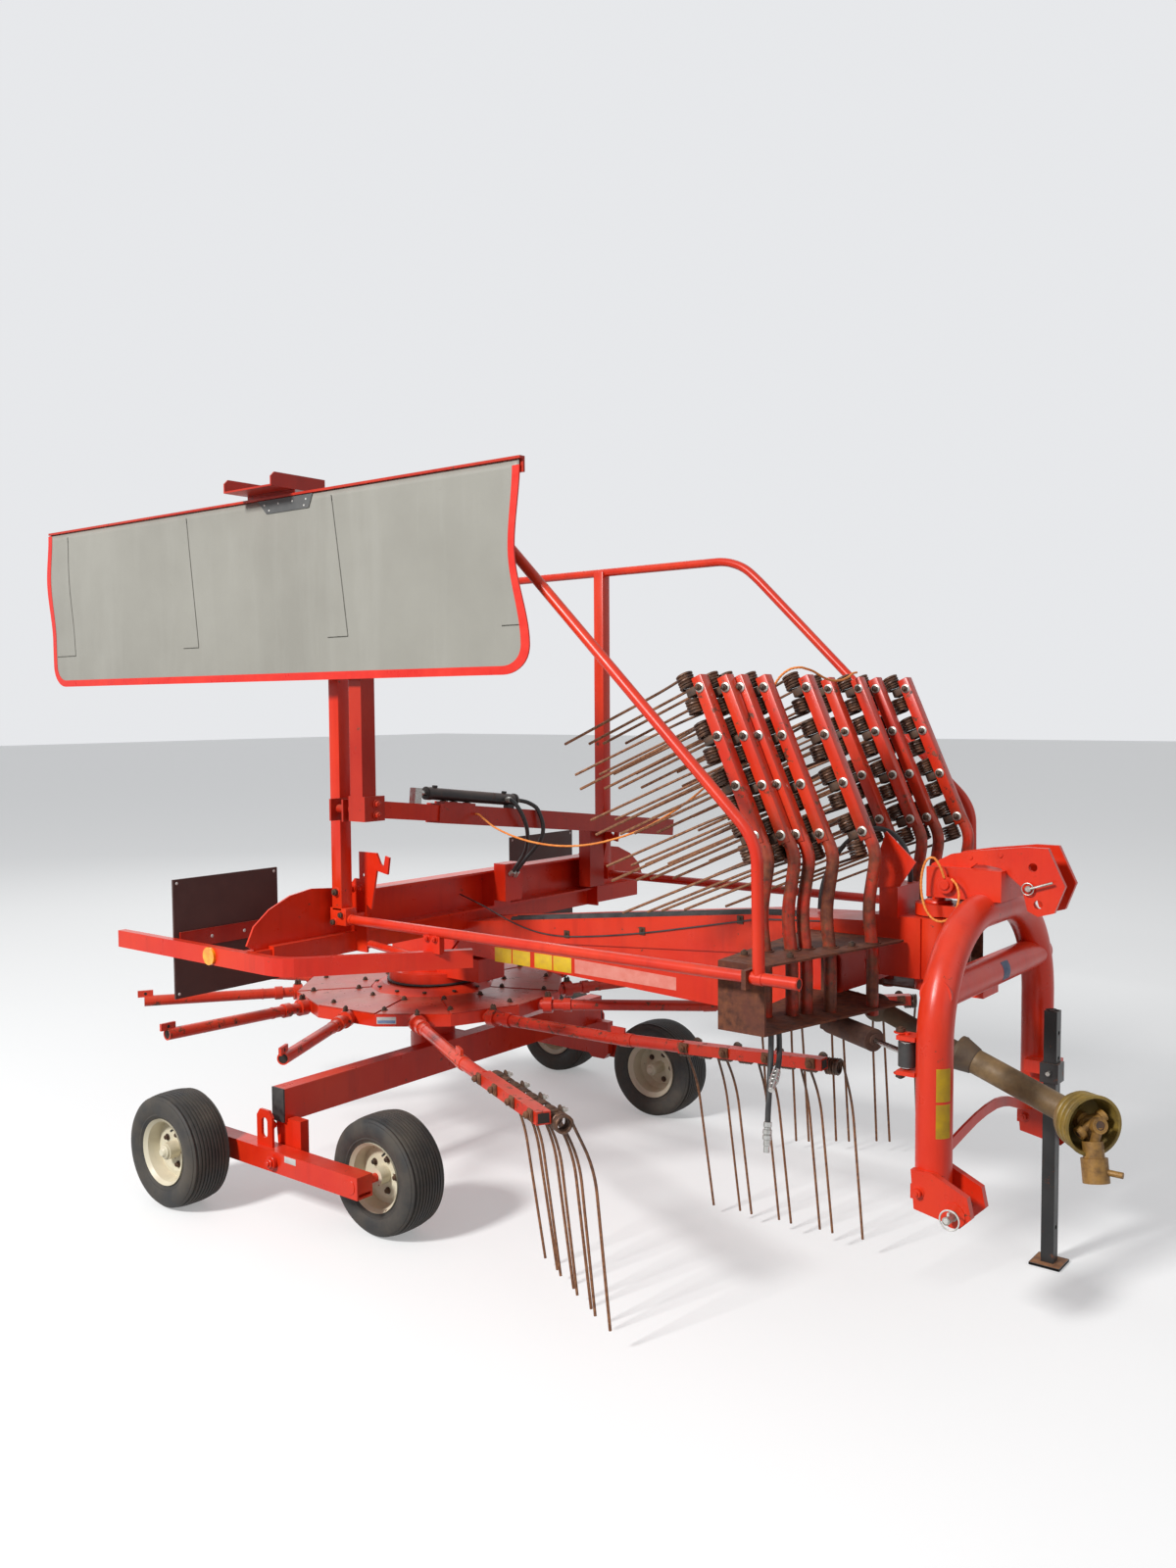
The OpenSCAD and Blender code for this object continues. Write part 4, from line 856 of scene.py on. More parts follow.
bm = bmesh.new()
lengths = [330 + 30 * i for i in range(42)]
for y_low, y_high, lift, thick in ((-96, -44, 0, 9), (-90, -82, 9, 4), (-58, -50, 9, 4)):
    rows = []
    for x in lengths:
        z = top_height(x) + lift
        rows.append([bm.verts.new(at(x, y, h)) for y, h in
                     ((y_low, z - 1), (y_high, z - 1), (y_high, z + thick), (y_low, z + thick))])
    for a, b in zip(rows, rows[1:]):
        for k in range(4):
            bm.faces.new((a[k], b[k], b[(k + 1) % 4], a[(k + 1) % 4]))
    bm.faces.new(rows[0])
    bm.faces.new(rows[-1][::-1])
bmesh.ops.recalc_face_normals(bm, faces=bm.faces)
add_piece("beam_rubber_strip", bm, [rubber], "frame")
bm = bmesh.new()
for x0, x1 in ((243, 328), (334, 422), (444, 529), (535, 621)):
    plate(bm, at(x0, -92.9, 791), at(x1, -91.5, 847), 0.0003)
add_piece("blank_plates", bm, [plate_yellow], "frame")
bm = bmesh.new()
slab(bm, [at(x, -92.7, z) for x, z in ((637, 794), (1085, 789), (1085, 834), (637, 846))], (0, 0.0012, 0))
add_piece("blank_band", bm, [band_pale], "frame")
bm = bmesh.new()
tube(bm, [smooth_route([
    (62, -106, 1045), (70, -104, 1039), (204, -104, 1001), (335, -104, 957), (452, -104, 932),
    (584, -104, 927), (753, -104, 945), (952, -104, 977), (1133, -104, 1013), (1354, -104, 1058),
    (1432, -104, 1072), (1640, -100, 1086)])], 0.0026, 2)
add_piece("clipped_cable", bm, [cap_plastic], "frame")
bm = bmesh.new()
for x, z in ((608, 931), (948, 978), (1347, 1057)):
    plate(bm, at(x - 12, -104, z - 9), at(x + 12, -99.5, z + 19), 0.001)
    bolt(bm, at(x, -104, z + 11), (0, -1, 0), 0.010, 0.006, 0.014, 0.0015)
add_piece("cable_clips", bm, [dark_bolt], "frame")


# Side guards: a bent tube hoop on a square post each side, standing folded up over the lower rail.
# The right one is bolted to the cross-beam's wing, and the left one hinges on its rail.
RAIL_Y, RAIL_Z, HOOP_TOP = 748, 1034, 2350
for label, sign, body in (("right", -1, "frame"), ("left", 1, "guard_left")):
    y = sign * RAIL_Y
    bm = bmesh.new()
    hoop = [at(x, y, z) for x, z in ((1800, RAIL_Z), (1794, 1375), (1765, 1432), (905, 2270), (845, 2320),
                                     (760, HOOP_TOP), (-600, HOOP_TOP - 8))]
    tube(bm, [rounded(hoop), [at(165, y, RAIL_Z), at(1920, y, RAIL_Z)]], 0.017)
    plate(bm, at(100, y - 25, RAIL_Z + 30), at(150, y + 25, HOOP_TOP), 0.003)
    plate(bm, at(90, y - 25, RAIL_Z - 20), at(170, y + 25, RAIL_Z + 40), 0.002)
    if sign < 0:
        plate(bm, at(105, -RAIL_Y + 20, RAIL_Z - 15), at(155, -668, RAIL_Z + 15), 0.002)
    # A dark disc inside the rail's open front end is painted shade for the inside of the tube.
    ring(bm, at(1921, y, RAIL_Z), (1, 0, 0), 0.0130, 0.0170, 0.0015, material=0, shade_disc_material=1)
    for x in (150, 1785):
        disc(bm, at(x, y, RAIL_Z), (1, 0, 0), 0.0190, 0.030, 28)
    guard = add_piece("tube_guard_" + label, bm, [red_paint, shade_in_tube], body)
    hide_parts("side_guard_" + label)


# Cross-beam: a channel across the frame with a hook plate and a post foot at each end.
# Bolts hold the post feet, the guard bar's bracket and hanger, and the board carriers.
bm = bmesh.new()
for sign in (-1, 1):
    side = Vector((0, sign, 0))
    for x, z in ((90, 1020), (132, 1020), (90, 1130), (132, 1130)):
        bolt(bm, at(x, sign * 668, z), side, 0.018, 0.010, 0.026)
    for x, z in ((110, 1024), (150, 1052)):
        bolt(bm, at(x, sign * 773, z), side, 0.018, 0.010, 0.026, material=1)
    bolt(bm, at(125, sign * 773, 1130), side, 0.022, 0.012, 0.030, material=1)
    for y in (590, 640, 700):
        bolt(bm, at(-334, sign * y, 955), (1, 0, 0), 0.014, 0.008, 0.020, material=1)
bolt(bm, at(95, -1073, 940), (1, 0, 0), 0.018, 0.010, 0.026)
for x in (555, 590):
    bolt(bm, at(x, -760, 1012), (0, -1, 0), 0.016, 0.009, 0.022)
for y in (-64, 64):
    for z in (1000, 1100):
        bolt(bm, at(65, y, z), (-1, 0, 0), 0.018, 0.010, 0.026)
add_piece("cross_beam_bolts", bm, [red_paint, dark_bolt], "frame")


# Marker boards: dark brown panels with pale rivets, on their carriers at the rear.
# The amber reflector is a ribbed lens in a thin rim on the guard bar.
board_paint = simple_finish("board_paint", (0.045, 0.018, 0.015), (0.085, 0.040, 0.034), 5, (0.5, 0.75), 0, 0.2)
rivet_pale = simple_finish("rivet_pale", (0.72, 0.71, 0.68), (0.50, 0.48, 0.44), 80, (0.4, 0.6))
finish_nodes(board_paint, "marker_boards")
bm = bmesh.new()
for sign in (-1, 1):
    for y in (675, 1095):
        for z in (766, 1158):
            disc(bm, at(-342, sign * y, z), (1, 0, 0), 0.0055, 0.002, 16, 0.0035, edge=0)
            disc(bm, at(-350, sign * y, z), (-1, 0, 0), 0.0055, 0.002, 16, 0.0035, edge=0)
    for y in (820, 960):
        disc(bm, at(-350, sign * y, 955), (-1, 0, 0), 0.0065, 0.003, 16, 0.004, edge=0)
        disc(bm, at(-334, sign * y, 955), (1, 0, 0), 0.0065, 0.003, 16, 0.004, edge=0)
add_piece("board_rivets", bm, [rivet_pale], "frame")
amber_lens, nodes, links, shader = new_material("amber_lens")
vector = coords(nodes, links)
cells = nodes.new("ShaderNodeTexVoronoi")
cells.inputs["Scale"].default_value = 260
links.new(vector, cells.inputs["Vector"])
links.new(mixed(nodes, links, noise(nodes, links, vector, 40, 4), (0.85, 0.27, 0.0), (0.95, 0.42, 0.01)),
          shader.inputs["Base Color"])
shader.inputs["Roughness"].default_value = 0.18
shader.inputs["Coat Weight"].default_value = 0.5
bumped(nodes, links, shader, cells.outputs["Distance"], 0.4, 0.0008)
finish_nodes(amber_lens, "amber_reflector")


# Boom: two square tubes, one inside the other, moved by a hydraulic cylinder on top.
# Steel fittings join the hoses to the cylinder, and the rope is tied to a latch on the outer tube.
black_paint = worn_paint("black_paint", (0.014, 0.014, 0.015), (0.045, 0.042, 0.040), 0.5, 0.4,
                         gloss=(0.3, 0.6))
rod_steel = simple_finish("rod_steel", (0.62, 0.62, 0.60), (0.46, 0.45, 0.43), 30, (0.14, 0.3), 1.0, 0.05)
finish_nodes(black_paint, "boom_cylinder")
finish_nodes(rod_steel, "boom_rod")
SLOPE = Matrix.Rotation(math.radians(-6.4), 4, "X")


def on_boom(x, y, z):
    """Place from the boom's right end, with y along the sloping boom."""
    return at(300, -800, 1430) + SLOPE @ (Vector((x, y, z)) / 1000)


down_boom = (SLOPE @ Vector((0, 1, 0))).normalized()
above_boom = (SLOPE @ Vector((0, 0, 1))).normalized()
bm = bmesh.new()
ring(bm, on_boom(0, 752, 68), down_boom, 0.0205, 0.0245, 0.010)
ring(bm, on_boom(0, 286, 68), down_boom, 0.0095, 0.0236, 0.022)
disc(bm, on_boom(0, 700, 90), above_boom, 0.010, 0.008, 16)
disc(bm, on_boom(0, 330, 90), above_boom, 0.010, 0.008, 16)
add_piece("boom_cylinder_ends", bm, [black_paint], "frame")
bm = bmesh.new()
for y in (380, 430, 500):
    bolt(bm, on_boom(0, y, 43), above_boom, 0.018, 0.010, 0.026, material=0)
disc(bm, at(200, 74, 1100) + Vector((0.001, 0, 0)), (0.6, 0, 0.8), 0.0115, 0.026, 6, material=1)
disc(bm, at(200, 46, 1110) + Vector((0.001, 0, 0)), (0.86, 0, 0.5), 0.0115, 0.026, 6, material=1)
disc(bm, at(300, -39, 1412), down_boom, 0.0115, 0.022, 6, material=1)
disc(bm, at(320, -104, 1419), (1, 0, 0), 0.0115, 0.022, 6, material=1)
add_piece("boom_fittings", bm, [dark_bolt, zinc], "frame")


# Curtain: one sheet of heavy grey-beige tarpaulin hung from its rail, edged with a welded red band.
# Three welded seams end in short hooks, and a riveted patch stands where the bracket grips the rail.
CURTAIN_Y = -862
LEFT_EDGE, RIGHT_EDGE = -1512, 1050
SHEET_LOW, SHEET_TOP = 1865, 2487
CORNER = 86
LEFT_STATIONS = ((2487, -1526), (2300, -1546), (2050, -1511), (1865, -1508))
RIGHT_STATIONS = ((2487, 1064), (2235, 1040), (1950, 1096), (1865, 1102))


def edge_at(stations, z):
    """Where a hanging edge of the sheet stands at one height."""
    for (z0, x0), (z1, x1) in zip(stations, stations[1:]):
        if z >= z1:
            share = max(0, min(1, (z0 - z) / (z0 - z1)))
            return x0 + (x1 - x0) * share ** 2 * (3 - 2 * share)
    return stations[-1][1]


def sheet_wave(x, z):
    """How far the cloth sways out here, in shallow waves that grow below its rail."""
    hang = max(0, min(1, (SHEET_TOP - 50 - z) / 400))
    return (-1.5 - hang * (2.2 + 1.6 * math.sin(x / 210 + z / 330) + 1.0 * math.sin(x / 97 - z / 190 + 1.3)
                           + 0.8 * math.sin(x / 61 + 0.4)))


def sheet_spot(x, z, proud=0.0):
    """Place on the hanging sheet, or proud of it, from a place on the flat one."""
    left = max(0, (LEFT_EDGE + 450 - x) / 450) ** 2 * (edge_at(LEFT_STATIONS, z) - LEFT_EDGE)
    right = max(0, (x - RIGHT_EDGE + 350) / 350) ** 2 * (edge_at(RIGHT_STATIONS, z) - RIGHT_EDGE)
    return at(x + left + right, CURTAIN_Y + sheet_wave(x, z) - proud, z)


def low_edge(x):
    """Height of the flat sheet's lower edge, with its round corners."""
    reach = min(x - LEFT_EDGE, RIGHT_EDGE - x)
    if reach >= CORNER:
        return SHEET_LOW
    reach = max(0, reach)
    return SHEET_LOW + CORNER - math.sqrt(max(0, CORNER ** 2 - (CORNER - reach) ** 2))


tarpaulin, nodes, links, shader = new_material("tarpaulin")
vector = coords(nodes, links)
clouds = noise(nodes, links, vector, 1.7, 6, 0.6, 0.35, 0.68)
tone = mixed(nodes, links, clouds, (0.265, 0.255, 0.220), (0.315, 0.305, 0.265))
smear = noise(nodes, links, coords(nodes, links, stretch=(7, 7, 0.9)), 1.4, 7, 0.65, 0.48, 0.75, 0.35)
tone = mixed(nodes, links, smear, tone, (0.37, 0.36, 0.32))
spots = noise(nodes, links, vector, 24, 8, 0.7, 0.68, 0.75, 0.5)
links.new(mixed(nodes, links, spots, tone, (0.17, 0.15, 0.115)), shader.inputs["Base Color"])
shine(nodes, links, shader, smear, 0.42, 0.6)
shader.inputs["Sheen Weight"].default_value = 0.1
weave = nodes.new("ShaderNodeTexWave")
weave.bands_direction = "X"
weave.inputs["Scale"].default_value = 260
links.new(vector, weave.inputs["Vector"])
weft = nodes.new("ShaderNodeTexWave")
weft.bands_direction = "Z"
weft.inputs["Scale"].default_value = 260
links.new(vector, weft.inputs["Vector"])
cloth = product(nodes, links, weave.outputs["Fac"], weft.outputs["Fac"])
creases = noise(nodes, links, coords(nodes, links, stretch=(3, 3, 1)), 2.2, 5, 0.5, 0.2, 0.8)
folds = product(nodes, links, creases, cloth, "ADD")
bumped(nodes, links, shader, folds, 0.15, 0.002)
band_red = simple_finish("band_red", (0.66, 0.014, 0.007), (0.74, 0.030, 0.014), 12, (0.25, 0.42), 0, 0.1)
seam_grey = simple_finish("seam_grey", (0.13, 0.125, 0.105), (0.19, 0.18, 0.155), 50, (0.5, 0.7))
patch_grey = simple_finish("patch_grey", (0.065, 0.068, 0.068), (0.10, 0.10, 0.097), 12, (0.45, 0.65))
bm = bmesh.new()
COLUMNS, ROWS = 130, 26
columns = []
for i in range(COLUMNS + 1):
    x = LEFT_EDGE + (RIGHT_EDGE - LEFT_EDGE) * i / COLUMNS
    low = low_edge(x)
    columns.append([bm.verts.new(sheet_spot(x, low + (SHEET_TOP - low) * j / ROWS)) for j in range(ROWS + 1)])
for first, second in zip(columns, columns[1:]):
    for j in range(ROWS):
        bm.faces.new((first[j], second[j], second[j + 1], first[j + 1])).smooth = True
bmesh.ops.remove_doubles(bm, verts=bm.verts, dist=0.00001)
flat_area = sum(f.calc_area() for f in bm.faces)
sheet = add_piece("hung_curtain", bm, [tarpaulin], "curtain_boom", shape=False)
thick = sheet.modifiers.new("thickness", "SOLIDIFY")
thick.thickness = 0.0016
thick.offset = 0
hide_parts("curtain")
bm = bmesh.new()
quarter = [math.pi / 2 * i / 10 for i in range(11)]
outline = [(LEFT_EDGE, SHEET_TOP - 2 - 20 * i) for i in range(27)]
outline += [(LEFT_EDGE + CORNER * (1 - math.cos(a)), SHEET_LOW + CORNER * (1 - math.sin(a))) for a in quarter]
outline += [(LEFT_EDGE + CORNER + 30 * i, SHEET_LOW) for i in range(1, 79)]
outline += [(RIGHT_EDGE - CORNER + CORNER * math.sin(a), SHEET_LOW + CORNER * (1 - math.cos(a)))
            for a in quarter]
outline += [(RIGHT_EDGE, SHEET_LOW + CORNER + 20 * i) for i in range(1, 27)]
outline = [p for p in outline if p[1] < SHEET_TOP - 1]
BAND = 24
BAND_PROUD = 2.4
rows = []
for i, (x, z) in enumerate(outline):
    a, b = outline[max(i - 1, 0)], outline[min(i + 1, len(outline) - 1)]
    along = Vector((b[0] - a[0], b[1] - a[1])).normalized()
    inward = Vector((-along.y, along.x))
    inner = (x + inward.x * BAND, z + inward.y * BAND)
    outer = (x - inward.x * 2, z - inward.y * 2)
    rows.append([bm.verts.new(sheet_spot(*edge, proud)) for edge, proud in
                 ((outer, BAND_PROUD), (inner, BAND_PROUD), (inner, -BAND_PROUD), (outer, -BAND_PROUD))])
for a, b in zip(rows, rows[1:]):
    for k in range(4):
        bm.faces.new((a[k], b[k], b[(k + 1) % 4], a[(k + 1) % 4]))
bm.faces.new(rows[0])
bm.faces.new(rows[-1][::-1])
bmesh.ops.recalc_face_normals(bm, faces=bm.faces)
band = add_piece("curtain_band", bm, [band_red], "curtain_boom")
bm = bmesh.new()
SEAM_STEPS = 24
seam_lines = [((968, 2008), (1046, 2008))]
for x_top, x_low, z_low, hook in ((-1375, -1343, 1987, -140), (-566, -508, 1993, -91), (241, 315, 2003, -102)):
    seam_lines += [((x_top, 2470), (x_low, z_low)), ((x_low, z_low), (x_low + hook, z_low))]
for a, b in seam_lines:
    strip = []
    run = Vector((b[0] - a[0], b[1] - a[1])).normalized()
    for i in range(SEAM_STEPS + 1):
        x = a[0] + (b[0] - a[0]) * i / SEAM_STEPS
        z = a[1] + (b[1] - a[1]) * i / SEAM_STEPS
        strip.append([bm.verts.new(sheet_spot(x - run.y * w, z + run.x * w, 1.35)) for w in (-1.8, 1.8)])
    for s, t in zip(strip, strip[1:]):
        bm.faces.new((s[0], t[0], t[1], s[1]))
bmesh.ops.solidify(bm, geom=list(bm.faces), thickness=0.0012)
bmesh.ops.recalc_face_normals(bm, faces=bm.faces)
seams = add_piece("curtain_seams", bm, [seam_grey], "curtain_boom")
bm = bmesh.new()
patch = [(-142, 2486), (150, 2486), (128, 2440), (-96, 2440)]
slab(bm, [sheet_spot(x, z, 4.0) for x, z in patch], (0, 0.0026, 0))
for x, z in ((-105, 2470), (-30, 2470), (45, 2470), (115, 2470), (-80, 2450), (105, 2450)):
    disc(bm, sheet_spot(x, z, 3.8), (0, -1, 0), 0.0038, 0.0016, 14, 0.0026, material=1, edge=0)
grip = add_piece("curtain_patch", bm, [patch_grey, rivet_pale], "curtain_boom")
bm = bmesh.new()
for z in (1408, 1445):
    bolt(bm, at(342, -778, z), (1, 0, 0), 0.020, 0.011, 0.028)
    bolt(bm, at(258, -778, z), (-1, 0, 0), 0.020, 0.011, 0.028)
disc(bm, at(162, -800, 1425), (-1, 0, 0), 0.020, 0.004, 24)
# The carrier's bolts take the same darker copy of the red paint, painted shade.
add_piece("carrier_bolts", bm, [painted_shade_red], "curtain_boom")


# Storage rack: rusty folded plates with a hole for each arm's foot, bolted under the head of the beam.
# A collar and a pin hold each foot, and nuts stand on the top plate beside them.
# Very dark rust: the rack's real rust, darkened further as painted shade for the inside of the rack.
rack_rust_and_shade = worn_paint("rack_rust_and_shade", (0.070, 0.018, 0.010), (0.15, 0.032, 0.015), 1.0, 0.2,
                       rust_height=(1.3, 1.0), gloss=(0.5, 0.8))
finish_nodes(rack_rust_and_shade, "storage_rack")
RACK_TOP = 1058
bm = bmesh.new()
for x, y in STORED:
    foot = at(x + 228, y, RACK_TOP)
    ring(bm, foot, (0, 0, 1), 0.0195, 0.0245, 0.004)
    disc(bm, foot + Vector((-0.02, 0, 0.045)), (-1, 0, 0.1), 0.0055, 0.010, 10, material=1)
for x, y in ((1665, -600), (1790, -560), (1850, -300), (1880, -60), (1800, 560), (1740, 640), (1940, 420)):
    bolt(bm, at(x, y, RACK_TOP), (0, 0, 1), 0.019, 0.011, 0.026, material=1)
for y in (-660, -560):
    face_x = 1640 + (1600 - 1640) * (700 - abs(y)) / 570
    bolt(bm, at(face_x - 1, y, 960), (-1, -0.07, 0), 0.018, 0.010, 0.024, material=1)
add_piece("rack_fittings", bm, [rack_rust_and_shade, dark_bolt], "frame")


# Head and headstock: a bent tube arch with plates for the lower hitch pins and the top link.
# Linchpins, a pale retaining ring, rivets and the yaw pin's cap stand on it, and its stickers are blank.
finish_nodes(zinc, "lower_hitch_pins")
LEG_X, LEG_Y, PIN_X = 2155, 410, 2237
bm = bmesh.new()
disc(bm, at(1990, 0, 1165), (0, 0, 1), 0.044, 0.010, 36, 0.040, edge=0.003)
disc(bm, at(1990, 0, 1175), (0, 0, 1), 0.020, 0.008, 6)
for sign in (-1, 1):
    out = Vector((0, sign, 0))
    disc(bm, at(2054, sign * 110, 1236), out, 0.026, 0.003, 32)
    disc(bm, at(2054, sign * 113, 1236), out, 0.015, 0.006, 28, edge=0.002)
    for face_y, side in ((472, 1), (348, -1)):
        bolt(bm, at(2138, sign * face_y, 440), out * side, 0.022, 0.012, 0.030)
    ring(bm, at(PIN_X, sign * 472, 400), out, 0.0148, 0.034, 0.0025)
    bolt(bm, at(2120, sign * 350, 1021), (0, 0, 1), 0.014, 0.008, 0.018)
bolt(bm, at(2055, -LEG_Y, 857), (0, 0, 1), 0.024, 0.010, 0.034, material=1)
bolt(bm, at(2055, -LEG_Y, 743), (0, 0, -1), 0.024, 0.010, 0.034, material=1)
for x, z in ((2010, 1268), (2110, 1316), (2200, 1328)):
    disc(bm, at(x, -56, z), (0, -1, 0), 0.008, 0.003, 16, 0.006, edge=0)
add_piece("headstock_fittings", bm, [red_paint, dark_bolt], "headstock")


def wire_ring(bm, spot, radius, wire, segments):
    """Round wire bent to a ring that hangs across the machine's width."""
    eighths = [math.pi * k / 4 for k in range(8)]
    spun(bm, spot, (0, 1, 0), [(radius + wire * math.cos(a), wire * math.sin(a)) for a in eighths], segments)


bm = bmesh.new()
for sign in (-1, 1):
    disc(bm, at(PIN_X, sign * 519, 400), Vector((0, sign, 0)), 0.0100, 0.003, 20, 0.006, edge=0)
    disc(bm, at(PIN_X, sign * 505, 388), (0, 0, 1), 0.0038, 0.030, 12)
    wire_ring(bm, at(2241, sign * 507, 399), 0.027, 0.0023, 40)
bmesh.ops.recalc_face_normals(bm, faces=bm.faces)
add_piece("pin_retainers", bm, [rivet_pale], "headstock")
bm = bmesh.new()
disc(bm, at(2286, -56, 1238), (0, -1, 0), 0.0150, 0.006, 24, material=1, edge=0.0015)
disc(bm, at(2286, -62, 1238), (0, -1, 0), 0.0090, 0.014, 20, edge=0.002)
wire_ring(bm, at(2283, -66, 1237), 0.017, 0.0018, 32)
disc(bm, at(2280, -71, 1235), (0.945, 0, 0.327), 0.0036, 0.080, 14)
add_piece("top_link_keeper", bm, [zinc, red_paint], "headstock")


def wrapped_patch(bm, centre, bearing_low, bearing_high, z_low, z_high, radius=50.6):
    """A sticker that lies round an upright leg tube."""
    rows = []
    for i in range(13):
        angle = math.radians(bearing_low + (bearing_high - bearing_low) * i / 12)
        out = Vector((math.cos(angle), math.sin(angle), 0)) * (radius / 1000)
        rows.append((bm.verts.new(at(*centre, z_low) + out), bm.verts.new(at(*centre, z_high) + out)))
    faces = [bm.faces.new((a[0], b[0], b[1], a[1])) for a, b in zip(rows, rows[1:])]
    bmesh.ops.solidify(bm, geom=faces, thickness=-0.0004)


bm = bmesh.new()
wrapped_patch(bm, (LEG_X, -LEG_Y), -62, -12, 592, 686)
wrapped_patch(bm, (LEG_X, -LEG_Y), -62, -12, 693, 784)
wrapped_patch(bm, (LEG_X, LEG_Y), -80, -30, 862, 880)
bmesh.ops.recalc_face_normals(bm, faces=bm.faces)
add_piece("leg_stickers", bm, [plate_yellow], "headstock")
bm = bmesh.new()
rows = []
for i in range(9):
    angle = math.radians(-28 + 70 * i / 8)
    out = Vector((math.cos(angle), 0, math.sin(angle))) * 0.0466
    rows.append((bm.verts.new(at(LEG_X, -20, 975) + out), bm.verts.new(at(LEG_X, 34, 975) + out)))
for a, b in zip(rows, rows[1:]):
    bm.faces.new((a[0], a[1], b[1], b[0]))
bmesh.ops.solidify(bm, geom=list(bm.faces), thickness=-0.0004)
bmesh.ops.recalc_face_normals(bm, faces=bm.faces)
add_piece("brace_sticker", bm, [sticker_blue], "headstock")


# Damper: a rusty cylinder between the rack and the right leg, with a bright rod.
# Its barrel has a gland nut where the rod comes out, and a black bush lines the rod's eye.
damper_brown = simple_finish("damper_brown", (0.065, 0.030, 0.022), (0.17, 0.085, 0.055), 24, (0.6, 0.85),
                             metallic=0.2, bump=0.5, distance=0.001)
finish_nodes(damper_brown, "damper_barrel")
finish_nodes(rod_steel, "damper_rod")
DAMPER_FROM, DAMPER_TO = at(1745, -250, 812), at(2075, -LEG_Y, 800)
damper_line = (DAMPER_TO - DAMPER_FROM).normalized()
bm = bmesh.new()
ring(bm, DAMPER_FROM + damper_line * 0.2145, damper_line, 0.0090, 0.0335, 0.010)
ring(bm, DAMPER_FROM + damper_line * 0.2245, damper_line, 0.0088, 0.0180, 0.006)
add_piece("damper_gland", bm, [damper_brown], "damper_barrel")
bm = bmesh.new()
ring(bm, DAMPER_TO + Vector((0, 0, -0.034)), (0, 0, 1), 0.0221, 0.0250, 0.068, 32)
add_piece("damper_bush", bm, [cap_plastic], "damper_rod")


# Drive shaft: a grimy guard tube and a ribbed soft bell, turned aside round a greasy universal joint.
# The joint's cross is pinned in both yokes, and round bearing caps show in their arms.
tube_grime = simple_finish("tube_grime", (0.050, 0.030, 0.018), (0.13, 0.085, 0.045), 11, (0.5, 0.8),
                           bump=0.4, distance=0.001)
yoke_grease = simple_finish("yoke_grease", (0.36, 0.185, 0.036), (0.12, 0.060, 0.018), 30, (0.3, 0.65),
                            metallic=0.15, bump=0.5, distance=0.001)
guard_plastic, nodes, links, shader = new_material("guard_plastic")
vector = coords(nodes, links)
spread = nodes.new("ShaderNodeSeparateXYZ")
links.new(vector, spread.inputs["Vector"])
forward = nodes.new("ShaderNodeMapRange")
forward.inputs["From Min"].default_value = 1.852
forward.inputs["From Max"].default_value = 1.862
links.new(spread.outputs["X"], forward.inputs["Value"])
grime = noise(nodes, links, vector, 14, 7, 0.65, 0.35, 0.68)
tube_tone = mixed(nodes, links, grime, (0.25, 0.155, 0.062), (0.115, 0.072, 0.034))
bell_tone = mixed(nodes, links, grime, (0.30, 0.195, 0.030), (0.10, 0.068, 0.020))
links.new(mixed(nodes, links, forward.outputs["Result"], tube_tone, bell_tone), shader.inputs["Base Color"])
shine(nodes, links, shader, grime, 0.4, 0.75)
bumped(nodes, links, shader, noise(nodes, links, vector, 150, 4, 0.6, 0.3, 0.7), 0.3, 0.0008)
finish_nodes(guard_plastic, "pto_guard")
finish_nodes(tube_grime, "pto_shaft")
finish_nodes(yoke_grease, "pto_yoke")
SHAFT_REAR, SHAFT_FRONT = at(1790, 0, 812), at(2410, 0, 581.3)
shaft_line = (SHAFT_FRONT - SHAFT_REAR).normalized()
bell_line = Vector((math.cos(math.radians(-40)), math.sin(math.radians(-40)), 0))
RIB = ((-3, -9), (2.5, -7.5), (5, -4), (5, 4), (2.5, 7.5), (-3, 9))
bm = bmesh.new()
for reach in (18, 41, 64):
    wall = 74 + 8 * reach / 85
    spun(bm, SHAFT_FRONT + bell_line * reach / 1000, bell_line,
         [((wall + r) / 1000, a / 1000) for r, a in RIB], 48)
spun(bm, SHAFT_FRONT + bell_line * 0.085, bell_line,
     [(r / 1000, a / 1000) for r, a in ((78, -6), (86, -6), (88, -3), (87, 1.5), (80, 2), (78, 0))], 48)
add_piece("guard_bell_ribs", bm, [guard_plastic], "frame")
bm = bmesh.new()
spun(bm, SHAFT_REAR + shaft_line * 0.280, shaft_line,
     [(0.0385, 0), (0.052, 0), (0.054, 0.012), (0.052, 0.016), (0.041, 0.060), (0.0385, 0.062)], 40)
add_piece("guard_rear_cone", bm, [tube_grime], "frame")
JOINT_MIDDLE = at(2462, -38, 580)
yoke_line = Vector((0.16, -0.16, -0.974)).normalized()
cross_in = Vector((0.506, 0.691, 0.516)).normalized()
cross_out = cross_in.cross(yoke_line).normalized()
bm = bmesh.new()
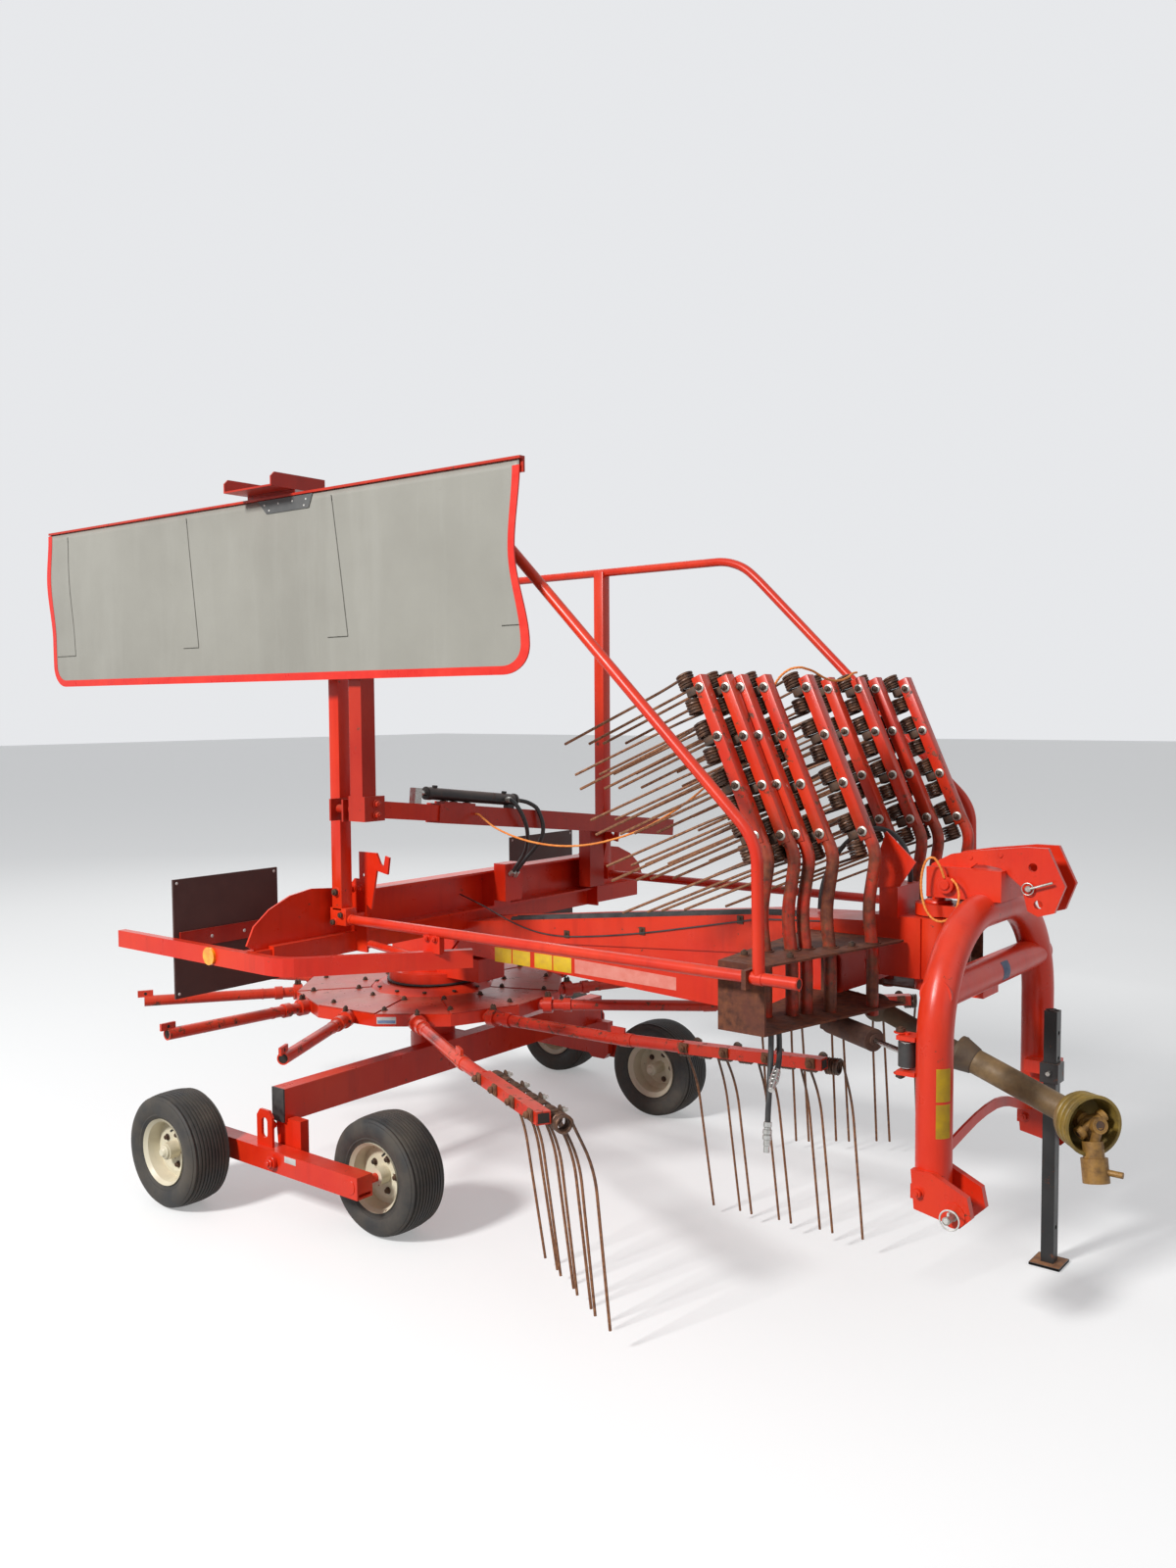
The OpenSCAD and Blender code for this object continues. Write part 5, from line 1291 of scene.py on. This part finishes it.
for pin_line, reach, width in ((cross_in, 0.048, 0.0145), (cross_out, 0.052, 0.0165)):
    for side in (-1, 1):
        face = JOINT_MIDDLE + pin_line * side * reach
        ring(bm, face, pin_line * side, width - 0.003, width, 0.0016, 28, 0)
        disc(bm, face, pin_line * side, width - 0.0035, 0.0006, 24, material=1, edge=0)
add_piece("bearing_caps", bm, [yoke_grease, dark_bolt], "frame")


# Parking stand: a black square tube with pin holes, a pin through its sleeve, and a rusty foot.
# It slides in the black sleeve on the far leg's bracket.
foot_rust = simple_finish("foot_rust", (0.16, 0.070, 0.035), (0.36, 0.17, 0.075), 30, (0.7, 0.9),
                          metallic=0.1, bump=0.5, distance=0.001)
finish_nodes(black_paint, "parking_stand")
STAND_X, STAND_Y = 2240, 300
bm = bmesh.new()
plate(bm, at(STAND_X - 48, STAND_Y - 48, 0.4), at(STAND_X + 48, STAND_Y + 48, 8.2), 0.002)
add_piece("stand_foot", bm, [foot_rust], "stand")
bm = bmesh.new()
# A dark square band at the stand's open top is painted shade for the inside of the tube.
ring(bm, at(STAND_X, STAND_Y, 810), (0, 0, 1), 0.016, 0.0215, 0.002, 4)
add_piece("stand_top", bm, [shade_in_tube], "stand")
bm = bmesh.new()
disc(bm, at(STAND_X, STAND_Y + 28, 616), (0, 1, 0), 0.0070, 0.018, 16)
disc(bm, at(STAND_X, STAND_Y - 42, 616), (0, 1, 0), 0.0070, 0.016, 16)
add_piece("stand_pin", bm, [zinc], "headstock")
SLEEVE_IN, SLEEVE_OUT = 20.8, 28.7
bm = bmesh.new()
for x0, x1, y0, y1 in ((-SLEEVE_OUT, -SLEEVE_IN, -SLEEVE_OUT, SLEEVE_OUT),
                       (SLEEVE_IN, SLEEVE_OUT, -SLEEVE_OUT, SLEEVE_OUT),
                       (-SLEEVE_IN, SLEEVE_IN, -SLEEVE_OUT, -SLEEVE_IN),
                       (-SLEEVE_IN, SLEEVE_IN, SLEEVE_IN, SLEEVE_OUT)):
    plate(bm, at(STAND_X + x0, STAND_Y + y0, 584.3), at(STAND_X + x1, STAND_Y + y1, 645.7), 0)
add_piece("sleeve_cover", bm, [black_paint], "headstock")
